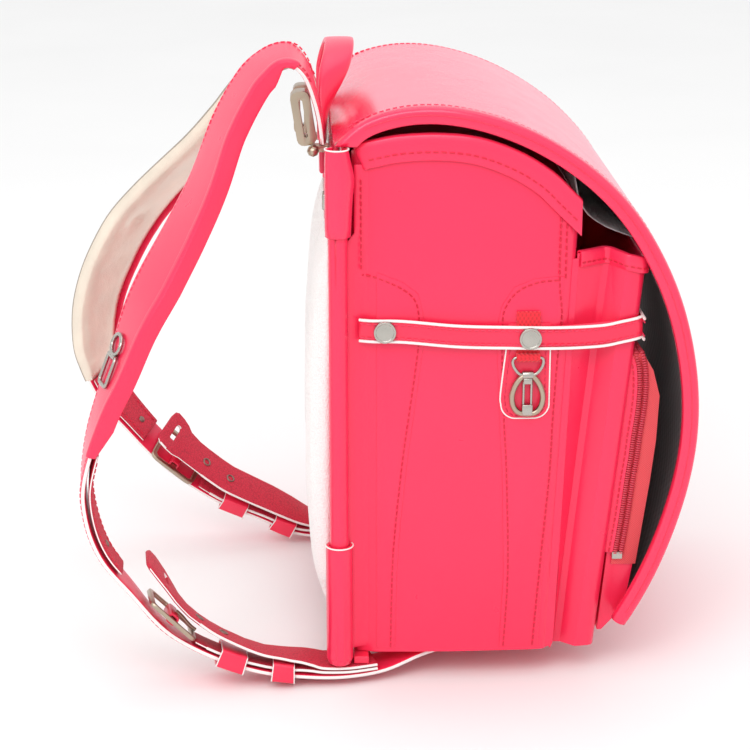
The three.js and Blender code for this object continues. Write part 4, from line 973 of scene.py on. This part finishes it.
class RANSEL_OT_front(bpy.types.Operator):
    """Make the pleated compartment and the zip pocket with its zip"""

    bl_idname = "ransel.front"
    bl_label = "Front compartments"

    def execute(self, context):
        edged_copy("small_compartment", finishes["leather"], 0.8)
        edged_copy("zip_pocket", finishes["leather"], 1.2)
        edged_copy("zip_tape", finishes["zip_cloth"], 0.25)
        self.hem()
        for word, side in SIDES:
            self.joint_strip(word, side)
        self.zip_edging()
        stitches("zip_seam", self.zip_line(-5.6, 1.15), finishes["red_thread"], count=260)
        for hand, sign in HANDS:
            bpy.ops.mesh.primitive_cylinder_add(
                vertices=10, radius=1.9 * MM, depth=0.9 * MM, rotation=(0, math.pi / 2, 0)
            )
            tooth = bpy.context.active_object
            applied()
            modify(tooth, "BEVEL", width=0.25 * MM, segments=1)
            line = curve_through(self.zip_line(sign * 1.9, 0.35), 260)
            row_of(tooth, f"zip_coil_{hand}", line, 1.45, finishes["zip_teeth"])
        for word, side in SIDES:
            self.zip_end(word, side)
        return {"FINISHED"}

    def hem(self):
        """The turned hem round the compartment's mouth, with its seam."""
        half = [(141, 117), (148.5, 112), (156.3, 106.6), (160.3, 106.6), (165, 111.5), (169.4, 116)]
        half += [(176.4 + 5 * math.cos(a), 110 + 5.9 * math.sin(a)) for a in (1.35, 1.0, 0.65, 0.3, 0)]
        line = [Vector((x, -y, 0)) for x, y in half] + [Vector((x, y, 0)) for x, y in reversed(half)]
        section = [(0.5, -8.2), (0.9, -7.4), (0.95, -1.2), (0.5, 0.8)]
        section += [(-1.0, 1.3), (-2.5, 0.6), (-2.7, -3)]

        def edge_place(u, out, height):
            here = between(line, u)
            along = (between(line, u + 0.01) - between(line, u - 0.01)).normalized()
            x, y = here.x + along.y * out, here.y - along.x * out
            top = 264 - max(here.x - 158.1, 0) * 0.212
            return spot(x, y, top + height)

        def place_at(u, v):
            return edge_place(u, *mixed(section, v))

        shaped_sheet("compartment_hem", place_at, 105, 14, 0.9, finishes["leather"])
        seam = [edge_place(i / 120, 1.5, -5.6) for i in range(121)]
        stitches("compartment_hem_seam", seam, finishes["red_thread"], count=160)

    def joint_strip(self, word, side):
        """The seam allowance between the shell's front corner and the compartment's side."""

        def place_at(u, v):
            z = 15 + 246 * u
            return spot(front_at(z) - 4.5 + 6 * v, side * (118.2 - 1.6 * v), z)

        shaped_sheet(f"compartment_joint_{word}", place_at, 40, 6, 0.8, finishes["leather"])

    def zip_edging(self):
        """The leather edge that is sewn over the back of the zip tape."""
        low = curve_through(self.zip_line(-10.8, -0.6), 200)
        high = curve_through(self.zip_line(-3.1, 0.95), 200)

        def place_at(u, v):
            return between(low, u).lerp(between(high, u), v)

        shaped_sheet("zip_edging", place_at, 200, 6, 0.8, finishes["leather"])

    def zip_line(self, offset, proud):
        """Up the near side, over the top and down the far side."""
        face = 110.4 + proud
        up = [(170.3, 74), (173.5, 98), (176, 122), (177.8, 136)]
        up += [(179, 149), (181, 166), (181.6, 180), (180.8, 192)]
        near = [spot(x + offset, -face, z) for x, z in up]
        corner = [(179.2 + offset, 109.6, 199.2), (178.8 + offset * 0.8, 107, 200.4 + proud)]
        near += [spot(x, -y, z) for x, y, z in corner]
        top = [(178.4 + offset * 0.62, y, 200.5 + proud) for y in (-96, -60, 0, 60, 96)]
        far = [spot(x, y, z) for x, y, z in reversed(corner)]
        far += [spot(x + offset, face, z) for x, z in reversed(up)]
        return near + [spot(*place) for place in top] + far

    def zip_end(self, word, side):
        """The metal stop at a foot of the zip, with a sunk face."""
        bpy.ops.mesh.primitive_cube_add(size=1)
        stop = named(f"zip_stop_{word}")
        stop.scale = (6.4 * MM, 2.6 * MM, 4.6 * MM)
        stop.location = spot(169.8, side * 111.3, 72.5)
        with editing_faces(stop, lambda normal: normal.y * side > 0.5):
            bpy.ops.mesh.inset(thickness=0.16)
            bpy.ops.transform.translate(value=(0, -side * 0.5 * MM, 0))
        applied()
        modify(stop, "BEVEL", width=0.4 * MM, segments=2)
        smooth(stop, 40)
        settle(stop, finishes["nickel"])


# The side band's route round the body, and how far it dips on the way
BAND_ROUTE = [
    (12.2, 122.1), (20.2, 124.4), (38.2, 125.4), (70.2, 126.1), (103.2, 125.6), (123.2, 125.2),
    (140, 122.9), (156, 120.7), (166, 119.4), (172.9, 118.4), (176.4, 117.5), (178.9, 114.9), (179.9, 111.4),
    (179.9, 104),
]
BAND_DIP = [(0, 0), (0.2, 0.4), (0.4, 3.9), (0.85, 5.85), (1, 1.8)]
BAND_HIGH = 220.5
BAND_LONG = 168.8


def band_line(drop, out):
    """A line along the band, at a height from its middle and proud of it."""
    near = []
    for x, y in BAND_ROUTE:
        z = BAND_HIGH - table(BAND_DIP, (x - BODY_BACK) / BAND_LONG) + drop
        reach = out if x < 170 else out * 0.75
        near.append((x + (-0.3 if x > 175 else 0), -(y + reach), z))
    return [spot(*p) for p in near] + [spot(x, -y, z) for x, y, z in reversed(near)]


class RANSEL_OT_band(bpy.types.Operator):
    """Make the side band with its piping, seams and rivets"""

    bl_idname = "ransel.band"
    bl_label = "Side band"

    def execute(self, context):
        sizes = context.scene.ransel_sizes
        soft_copy("side_band", finishes["trim"], 50, 0.9)
        for name, drop in (("upper", 6.3), ("lower", -6.3)):
            line = curve_through(band_line(drop, 0.55), 220)
            tube(f"band_piping_{name}", line, sizes.piping / MM, finishes["edge"])
            stitches(f"band_seam_{name}", band_line(drop * 0.66, 1.0), finishes["thread"], count=260)
        for word, side in SIDES:
            for place in ("back", "front"):
                self.rivet(f"band_rivet_{place}_{word}", f"rivet_{place}_{word}", side)
        return {"FINISHED"}

    def rivet(self, name, node, side):
        """A cap with a raised rim, a groove inside it and a flat middle."""
        low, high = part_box(node)
        bpy.ops.mesh.primitive_cylinder_add(
            vertices=40,
            radius=(high.x - low.x) / 2,
            depth=high.y - low.y,
            location=(low + high) / 2,
            rotation=(-side * math.pi / 2, 0, 0),
        )
        cap = named(name)
        applied()
        with editing_faces(cap, lambda normal: normal.y * side > 0.9):
            bpy.ops.mesh.inset(thickness=1.1 * MM)
            bpy.ops.mesh.inset(thickness=0.35 * MM)
            bpy.ops.transform.translate(value=(0, -side * 0.45 * MM, 0))
            bpy.ops.mesh.inset(thickness=2.2 * MM)
            bpy.ops.transform.translate(value=(0, side * 0.3 * MM, 0))
        broken_edges(cap, 0.5, 3, 25)
        smooth(cap, 40)
        settle(cap, finishes["nickel"], (node,))


# The flap's line: shares of its reach and height, from the board's top edge
FLAP_LINE = [
    (-0.01, 0.93), (0.015, 0.955), (0.065, 0.977), (0.14, 0.993), (0.22, 1), (0.31, 0.997), (0.42, 0.981),
    (0.53, 0.953), (0.64, 0.912), (0.73, 0.866), (0.81, 0.81), (0.875, 0.745), (0.93, 0.672), (0.97, 0.59),
    (0.995, 0.5), (1, 0.415), (0.985, 0.33), (0.955, 0.25), (0.91, 0.165), (0.86, 0.095), (0.815, 0.045),
]


FLAP_REACH = 215
FLAP_TALL = 338
# How the timetable pocket sags off its lining: from where, over what height, which way and how far
SAG_LOW = 264
SAG_TALL = 50
SAG_WAY = Vector((-0.8, 0, -0.6))
SAG_DEEP = 11


def flap_curve(y, depth, count=110):
    """A line down the flap at a place across, sunk by a depth under its curve."""
    places = [Vector((out * FLAP_REACH, 0, FOOT + up * FLAP_TALL)) for out, up in FLAP_LINE]
    line = curve_through(places, count)
    places = []
    for i, point in enumerate(line):
        along = (line[min(i + 1, count - 1)] - line[max(i - 1, 0)]).normalized()
        places.append(spot(point.x + along.z * depth, y, point.z - along.x * depth))
    return places


class RANSEL_OT_flap(bpy.types.Operator):
    """Make the long flap with its turned rim, lining and timetable pocket"""

    bl_idname = "ransel.flap"
    bl_label = "Flap"

    def execute(self, context):
        soft_copy("flap", finishes["glossy"], 45, 0.95, 2)
        soft_copy("flap_lining", finishes["lining"], 50, 0.9, 2)
        pocket = soft_copy("timetable_pocket", finishes["grey_mesh"], 50, 0.9, 2)
        for vertex in pocket.data.vertices:
            share = min(max((vertex.co.z / MM - GROUND - SAG_LOW) / SAG_TALL, 0), 1)
            vertex.co += SAG_WAY * (SAG_DEEP * math.sin(math.pi * share) ** 1.5) * MM
        for word, side in SIDES:
            line = flap_curve(side * 115.8, 0.72)[3:-1]
            stitches(f"flap_seam_{word}", line, finishes["thread"], count=400)
            groove = flap_curve(side * 123.45, 5.4)[5:-2]
            tube(f"flap_rim_line_{word}", groove, 0.35, finishes["trim"])
        return {"FINISHED"}


def turn_to(station):
    """Turns a piece made flat, its width on X and its length on Y, into a band's station."""
    basis = Matrix((station["wide"], station["along"], -station["inward"])).transposed()
    return basis.to_4x4()


def fitted(name, station, height, flat):
    """Sets the small fitting just made on the middle of a band, flattened to a share."""
    piece = named(name)
    turned = Matrix.Translation(laid(station, 0, height)) @ turn_to(station)
    piece.matrix_world = turned @ Matrix.Diagonal((1, 1, flat, 1))
    bpy.context.view_layer.update()
    applied()
    smooth(piece, 60)
    settle(piece, finishes["dark_metal"])


def dot(name, station, height, radius):
    """A small domed rivet on a band."""
    bpy.ops.mesh.primitive_uv_sphere_add(segments=16, ring_count=8, radius=radius * MM)
    fitted(name, station, height, 0.4)


def eyelet(name, station, height, radius):
    """A round metal ring let into a band."""
    bpy.ops.mesh.primitive_torus_add(
        major_segments=24, minor_segments=8, major_radius=radius * MM, minor_radius=0.65 * MM
    )
    fitted(name, station, height, 1)


# The shoulder pad's first row on the strap's table, and how many rows it runs
PAD_START = 3.6
PAD_ROWS = 11.9
# How much narrower than the strap each pad is, how far it swells and how far its sides turn down
PAD_SHAPES = {"near": (1.6, 3.4, 0.0), "far": (0.3, 4.4, 4.4)}


def wrap_section(at):
    """The leather's turned side at a row: half widths out, and how far it rises over the pad's side."""
    rise = 6.0 * min(1.0, max(0.0, (at - 4.6) / 1.6), max(0.0, (15.8 - at) / 1.2))
    return [(-5, -2.15), (-1.2, -2.1), (0.5, -1.0), (0.75, 1.2 + rise * 0.4), (0.3, 2.0 + rise)]


class RANSEL_OT_straps(bpy.types.Operator):
    """Make both shoulder straps with their pads, facings and seams"""

    bl_idname = "ransel.straps"
    bl_label = "Shoulder straps"

    def execute(self, context):
        for word, side in SIDES:
            stations = [strap_frame(word, at) for at in span(0, 33, 0.25)]
            strap = soft_copy(f"shoulder_strap_{word}", finishes["leather"], 80, 0.5)
            cream_edges(strap, stations, finishes["edge"])
            facing = soft_copy(f"strap_facing_{word}", finishes["rough"], 60, 0.8)
            cream_edges(facing, stations, finishes["edge"], 0.8)
            self.pad(word)
            self.wrap(word, side)
            for hand, sign in HANDS:
                rows = [strap_frame(word, at) for at in span(2.5, 29.5, 0.25)]
                line = [laid(s, sign * (s["half"] - 3.4), -STRAP_HALF + 0.62) for s in rows]
                stitches(f"strap_seam_{hand}_{word}", line, finishes["thread"], count=420)
                rows = [strap_frame(word, at) for at in span(15.8, 19.3, 0.25)]
                line = [laid(s, sign * (s["half"] - 4.2), 5.45) for s in rows]
                stitches(f"facing_seam_{hand}_{word}", line, finishes["red_thread"], count=90)
            for at in (15.8, 18.6):
                dot(f"strap_rivet_{int(at)}_{word}", strap_frame(word, at), 5.6, 2.4)
        return {"FINISHED"}

    def pad(self, word):
        """The soft champagne pad on the strap's inner side, crowned, with a dent on the far one."""
        narrow, swell, wrapped = PAD_SHAPES[word]

        def place_at(u, v):
            station = strap_frame(word, PAD_START + PAD_ROWS * u)
            across = 2 * v - 1
            ends = min(1.0, u / 0.12, (1 - u) / 0.06)
            crown = max(1 - across**4, 0) ** 0.6 * swell * math.sin(max(ends, 0) * math.pi / 2)
            crown += 0.16 * math.sin(u * 61 + across * 2.4) * (1 - across * across)
            if word == "far":
                crown -= 1.7 * math.exp(-(((u - 0.6) / 0.022) ** 2) - ((across + 0.25) / 0.22) ** 2)
            turned = max(abs(across) - 0.92, 0) / 0.08
            out = across * (station["half"] - narrow + 0.6 * min(turned * 2, 1) * (wrapped > 0))
            return laid(station, out, 2.3 + max(crown, 0) - wrapped * turned)

        name = f"shoulder_pad_{word}"
        piece = shaped_sheet(f"{name}_skin", place_at, 150, 48, 0.9, finishes["gold"])
        # Dark tubes along both edges of the pad, in the half-bright gold: painted shade where the pad's
        # sides turn away from the light.
        rows = [strap_frame(word, PAD_START + PAD_ROWS * i / 60) for i in range(61)]
        for hand, sign in HANDS:
            out = 0.6 if wrapped else 0.2
            edge = [laid(s, sign * (s["half"] - narrow + out), 2.4 - wrapped) for s in rows]
            tube(f"pad_shade_line_{hand}_{word}", edge, 0.6, finishes["gold_edge"], sides=2)
        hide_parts(name)

    def wrap(self, word, side):
        """The strap's leather, turned up over the pad's outer side."""

        def place_at(u, v):
            at = PAD_START + 12 * u
            station = strap_frame(word, at)
            out, inward = mixed(wrap_section(at), v)
            return laid(station, side * (station["half"] + out), inward)

        shaped_sheet(f"strap_wrap_{word}", place_at, 120, 12, 0.9, finishes["leather"])


class RANSEL_OT_belts(bpy.types.Operator):
    """Make the lower belts, their keepers and buckles"""

    bl_idname = "ransel.belts"
    bl_label = "Lower belts"

    def execute(self, context):
        for word, _ in SIDES:
            inner = belt_frames(word, INNER_BELT)
            tail = belt_frames(word, TAIL_BELT)
            belt = soft_copy(f"belt_inner_{word}", finishes["rough"], 80, 0.5)
            cream_edges(belt, inner, finishes["edge"])
            belt = edged_copy(f"belt_tail_{word}", finishes["rough"], 0.35, 2)
            cream_edges(belt, tail, finishes["edge"])
            edged_copy(f"belt_anchor_{word}", finishes["trim"], 0.6)
            for name, rows in (("tail", tail[7:]), ("inner", inner[1:])):
                for hand, sign in HANDS:
                    edge = curve_through([laid(s, sign * BELT_HALF, 0) for s in rows], 120)
                    title = f"{name}_edge_{hand}_{word}"
                    tube(title, edge, 0.85, finishes["edge"], sides=2)
            for number, row in ((1, 7), (2, 9)):
                eyelet(f"tail_eyelet_{number}_{word}", tail[row], 1.25, 2.6)
            for number, ends in enumerate(KEEPER_ROWS, 1):
                edged_copy(f"keeper_{number}_{word}", finishes["trim"], 0.45)
                for end, at in enumerate(ends, 1):
                    self.keeper_edge(f"keeper_edge_{number}_{end}_{word}", strap_frame(word, at))
            self.buckle(word)
        return {"FINISHED"}

    def keeper_edge(self, name, station):
        """The painted edge of a keeper, round strap and belt."""
        half, low, high = 15.2, -4.0, 6.75
        corners = [(-half, low), (half, low), (half, high), (-half, high)]
        ring = []
        for (u, v), (p, q) in zip(corners, corners[1:] + corners[:1]):
            ring += [laid(station, u + (p - u) * t, v + (q - v) * t) for t in (0.04, 0.35, 0.65, 0.96)]
        tube(name, ring, 0.38, finishes["edge"], closed=True, sides=2)

    def buckle(self, word):
        """The buckle with its leather wrap, and the prong that lies on its bar."""
        edged_copy(f"buckle_{word}", finishes["champagne"], 0.8, 3)
        edged_copy(f"buckle_wrap_{word}", finishes["trim"], 0.4)
        station = strap_frame(word, BUCKLE_ROW)
        lift = BUCKLE_LIFT[word]
        rise = ((3.6, 0.5), (3.4, 6), (2.4, 12), (2.6, 17.5))
        prong = [laid(station, 0, lift + up, along) for up, along in rise]
        tube(f"buckle_prong_{word}", curve_through(prong, 16), 1.15, finishes["champagne"])


class RANSEL_OT_hangers(bpy.types.Operator):
    """Make the handle, the strap hangers, the studs and the strap clips"""

    bl_idname = "ransel.hangers"
    bl_label = "Handle and hangers"

    def execute(self, context):
        soft_copy("handle", finishes["leather"], 80, 0.6)
        edged_copy("hanger_plate", finishes["nickel"], 0.4)
        for word, side in SIDES:
            edged_copy(f"hanger_loop_{word}", finishes["champagne"], 0.9)
            edged_copy(f"hanger_pin_{word}", finishes["champagne"], 0.3)
            edged_copy(f"board_stud_{word}", finishes["nickel"], 0.9)
            self.clip(word, side)
        return {"FINISHED"}

    def clip(self, word, side):
        """A flat oval eye and a square frame with a cross bar, laid side by side on the strap."""
        station = strap_frame(word, 12.9)
        u0, v0 = -side * 5.0, -STRAP_HALF - 1.8
        oval = []
        for step in range(28):
            angle = math.tau * step / 28
            oval.append(laid(station, u0 + 8.6 * math.cos(angle), v0, -9.6 + 6.2 * math.sin(angle)))
        eye = tube(f"clip_eye_{word}", oval, 1.25, finishes["nickel"], closed=True)
        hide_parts(f"strap_clip_{word}")
        square = []
        for sx, sy, start in ((1, 1, 0), (-1, 1, 90), (-1, -1, 180), (1, -1, 270)):
            for step in range(5):
                angle = math.radians(start + step * 22.5)
                u = sx * 5.2 + 2.6 * math.cos(angle)
                w = 6.6 + sy * 6.6 + 2.6 * math.sin(angle)
                square.append(laid(station, u0 + u, v0, w))
        tube(f"clip_frame_{word}", square, 1.25, finishes["nickel"], closed=True)
        bar = [laid(station, u0 - 7.2, v0, -2.2), laid(station, u0 + 7.2, v0, -2.2)]
        tube(f"clip_bar_{word}", bar, 1.5, finishes["nickel"])


# The axis that the hook swings on: across and up in the frame
SWING_OUT = -125.8
SWING_HIGH = 197.6


class RANSEL_OT_hook(bpy.types.Operator):
    """Make the hook's tab, webbing, ring and snap hook"""

    bl_idname = "ransel.hook"
    bl_label = "Side hook"

    def execute(self, context):
        edged_copy("hook_tab", finishes["trim"], 0.35)
        edged_copy("hook_webbing", finishes["webbing"], 0.2)
        soft_copy("hook_ring", finishes["nickel"], 80, 0.0, 1, body="ring")
        outline = [(99.7, 218), (97.9, 204), (95.4, 180)]
        for x, start in ((104.5, 180), (115.5, 270)):
            for step in range(7):
                angle = math.radians(start + step * 15)
                outline.append((x + 8.7 * math.cos(angle), 174 + 8.7 * math.sin(angle)))
        outline += [(124.2, 190), (124.2, 213)]
        line = [spot(x, -122.6, z) for x, z in outline]
        tube("hook_tab_edge", curve_through(line, 90), 0.5, finishes["edge"])
        inner = [spot(109.8 + (x - 109.8) * 0.84, -123.0, 185 + (z - 185) * 0.94) for x, z in outline]
        stitches("hook_tab_seam", inner, finishes["thread"], count=110)
        self.snap_hook()
        return {"FINISHED"}

    def snap_hook(self):
        """The hook: an oval loop, a hub on its swing axis, two blocks and the rods between them."""
        low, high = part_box("snap_hook")
        x = (low.x + high.x) / 2
        y = SWING_OUT * MM
        top, bottom = SWING_HIGH * MM, low.z
        half = [(2.6, 0.04), (6.6, 0.22), (9.0, 0.5), (8.6, 0.75), (6.2, 0.93), (2.4, 1.0)]
        whole = half + [(-across, down) for across, down in reversed(half)]
        reach = bottom + 1.5 * MM - top
        ring = curve_through([Vector((x + u * MM, y, top + reach * down)) for u, down in whole], 72, True)
        metal = finishes["champagne"]
        loop = tube("snap_hook_loop", ring, 1.7, metal, closed=True, body="hook")
        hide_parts("snap_hook")
        bpy.ops.mesh.primitive_cylinder_add(
            vertices=24,
            radius=2.55 * MM,
            depth=6.4 * MM,
            location=(x, y, top),
            rotation=(0, math.pi / 2, 0),
        )
        hub = named("snap_hook_hub")
        applied()
        with editing_faces(hub, lambda normal: abs(normal.x) > 0.9):
            bpy.ops.mesh.inset(thickness=0.9 * MM, use_individual=True)
            bpy.ops.mesh.bridge_edge_loops()
            bpy.ops.mesh.select_all(action="SELECT")
            bpy.ops.mesh.normals_make_consistent(inside=False)
        broken_edges(hub, 0.3, 2, 40)
        smooth(hub, 40)
        settle(hub, finishes["nickel"], body="hook")
        blocks = (
            ("snap_hook_head", top - 3.6 * MM, 5.2, 4.4, 3.6),
            ("snap_hook_foot", bottom + 4.2 * MM, 6.2, 4.2, 6.6),
        )
        for name, z, wide, deep, tall in blocks:
            bpy.ops.mesh.primitive_cube_add(size=1, location=(x, y, z))
            block = named(name)
            block.scale = (wide * MM, deep * MM, tall * MM)
            applied()
            modify(block, "BEVEL", width=0.6 * MM, segments=3)
            smooth(block, 40)
            settle(block, finishes["nickel"], body="hook")
        for number, across in enumerate((-2.3, 2.3), 1):
            rod = [Vector((x + across * MM, y, z)) for z in (top - 4 * MM, bottom + 6 * MM)]
            tube(f"snap_hook_rod_{number}", rod, 0.75, finishes["nickel"], body="hook")


class RANSEL_OT_underside(bpy.types.Operator):
    """Make the closing tongue and the plain lock under the body"""

    bl_idname = "ransel.underside"
    bl_label = "Underside"

    def execute(self, context):
        edged_copy("flap_tongue", finishes["leather"], 0.5)
        edged_copy("lock_case", finishes["nickel"], 0.8)
        return {"FINISHED"}


# What a user may change
def measure(name, text, metres):
    return bpy.props.FloatProperty(name=name, description=text, default=metres, unit="LENGTH")


def tint(name, text, colour):
    return bpy.props.FloatVectorProperty(
        name=name, description=text, default=colour, subtype="COLOR", size=3, min=0.0, max=1.0
    )


class RANSEL_PG_sizes(bpy.types.PropertyGroup):
    stitch: measure("Stitch length", "Length of one stitch with its gap", 0.0039)
    thread: measure("Thread radius", "Radius of the sewing thread", 0.00052)
    piping: measure("Piping radius", "Radius of the band's cream piping", 0.0009)


class RANSEL_PG_colours(bpy.types.PropertyGroup):
    leather: tint("Leather", "Smooth coated leather of the body, flap and straps", (0.88, 0.025, 0.083))
    trim: tint("Trim", "Leather of the band, tab and keepers", (0.86, 0.024, 0.07))
    rough: tint("Rough leather", "Pebbled leather of the belts and facings", (0.60, 0.022, 0.055))
    gold: tint("Pad lining", "Champagne leather of the shoulder pads", (0.86, 0.76, 0.64))
    mesh: tint("Back mesh", "Knitted mesh of the back pad", (0.97, 0.965, 0.955))
    lining: tint("Flap lining", "Woven lining under the flap", (0.035, 0.008, 0.014))
    grey: tint("Pocket mesh", "Mesh of the timetable pocket", (0.86, 0.80, 0.81))
    zip_cloth: tint("Zip tape", "Woven tape of the zip", (0.80, 0.075, 0.09))
    zip_teeth: tint("Zip coil", "Coil of the zip", (0.60, 0.045, 0.07))
    webbing: tint("Webbing", "Woven loop that carries the hook", (0.80, 0.012, 0.03))
    nickel: tint("Nickel", "Rivets, ring and clips", (0.46, 0.44, 0.40))
    champagne: tint("Champagne plating", "Buckles, hangers and the hook's loop", (0.46, 0.38, 0.29))
    aged: tint("Eyelet metal", "Eyelets and small rivets", (0.28, 0.21, 0.18))
    thread: tint("Pink thread", "Seams on the trim", (0.80, 0.035, 0.10))
    red_thread: tint("Red thread", "Seams on the leather", (0.68, 0.01, 0.045))
    edge: tint("Cream edge", "Painted edges and piping", (0.90, 0.86, 0.84))


class RANSEL_PT_tools(bpy.types.Panel):
    """Lists the sizes, the colours and the steps that make the pieces"""

    bl_idname = "RANSEL_PT_tools"
    bl_label = "School Ransel"
    bl_space_type = "VIEW_3D"
    bl_region_type = "UI"
    bl_category = "Ransel"

    def draw(self, context):
        column = self.layout.column(align=True)
        for group in (context.scene.ransel_sizes, context.scene.ransel_colours):
            for key in group.__annotations__:
                column.prop(group, key)
        for step in STEPS:
            column.operator(step.bl_idname)


STEPS = (
    RANSEL_OT_stage,
    RANSEL_OT_body,
    RANSEL_OT_board,
    RANSEL_OT_front,
    RANSEL_OT_band,
    RANSEL_OT_flap,
    RANSEL_OT_straps,
    RANSEL_OT_belts,
    RANSEL_OT_hangers,
    RANSEL_OT_hook,
    RANSEL_OT_underside,
)
CLASSES = (RANSEL_PG_sizes, RANSEL_PG_colours, *STEPS, RANSEL_PT_tools)


def register():
    for each in CLASSES:
        bpy.utils.register_class(each)
    bpy.types.Scene.ransel_sizes = bpy.props.PointerProperty(type=RANSEL_PG_sizes)
    bpy.types.Scene.ransel_colours = bpy.props.PointerProperty(type=RANSEL_PG_colours)


def unregister():
    del bpy.types.Scene.ransel_colours
    del bpy.types.Scene.ransel_sizes
    for each in reversed(CLASSES):
        bpy.utils.unregister_class(each)


def main():
    register()
    make_finishes()
    bpy.ops.ransel.stage()
    bpy.ops.ransel.body()
    bpy.ops.ransel.board()
    bpy.ops.ransel.front()
    bpy.ops.ransel.band()
    bpy.ops.ransel.flap()
    bpy.ops.ransel.straps()
    bpy.ops.ransel.belts()
    bpy.ops.ransel.hangers()
    bpy.ops.ransel.hook()
    bpy.ops.ransel.underside()


if __name__ == "__main__":
    main()
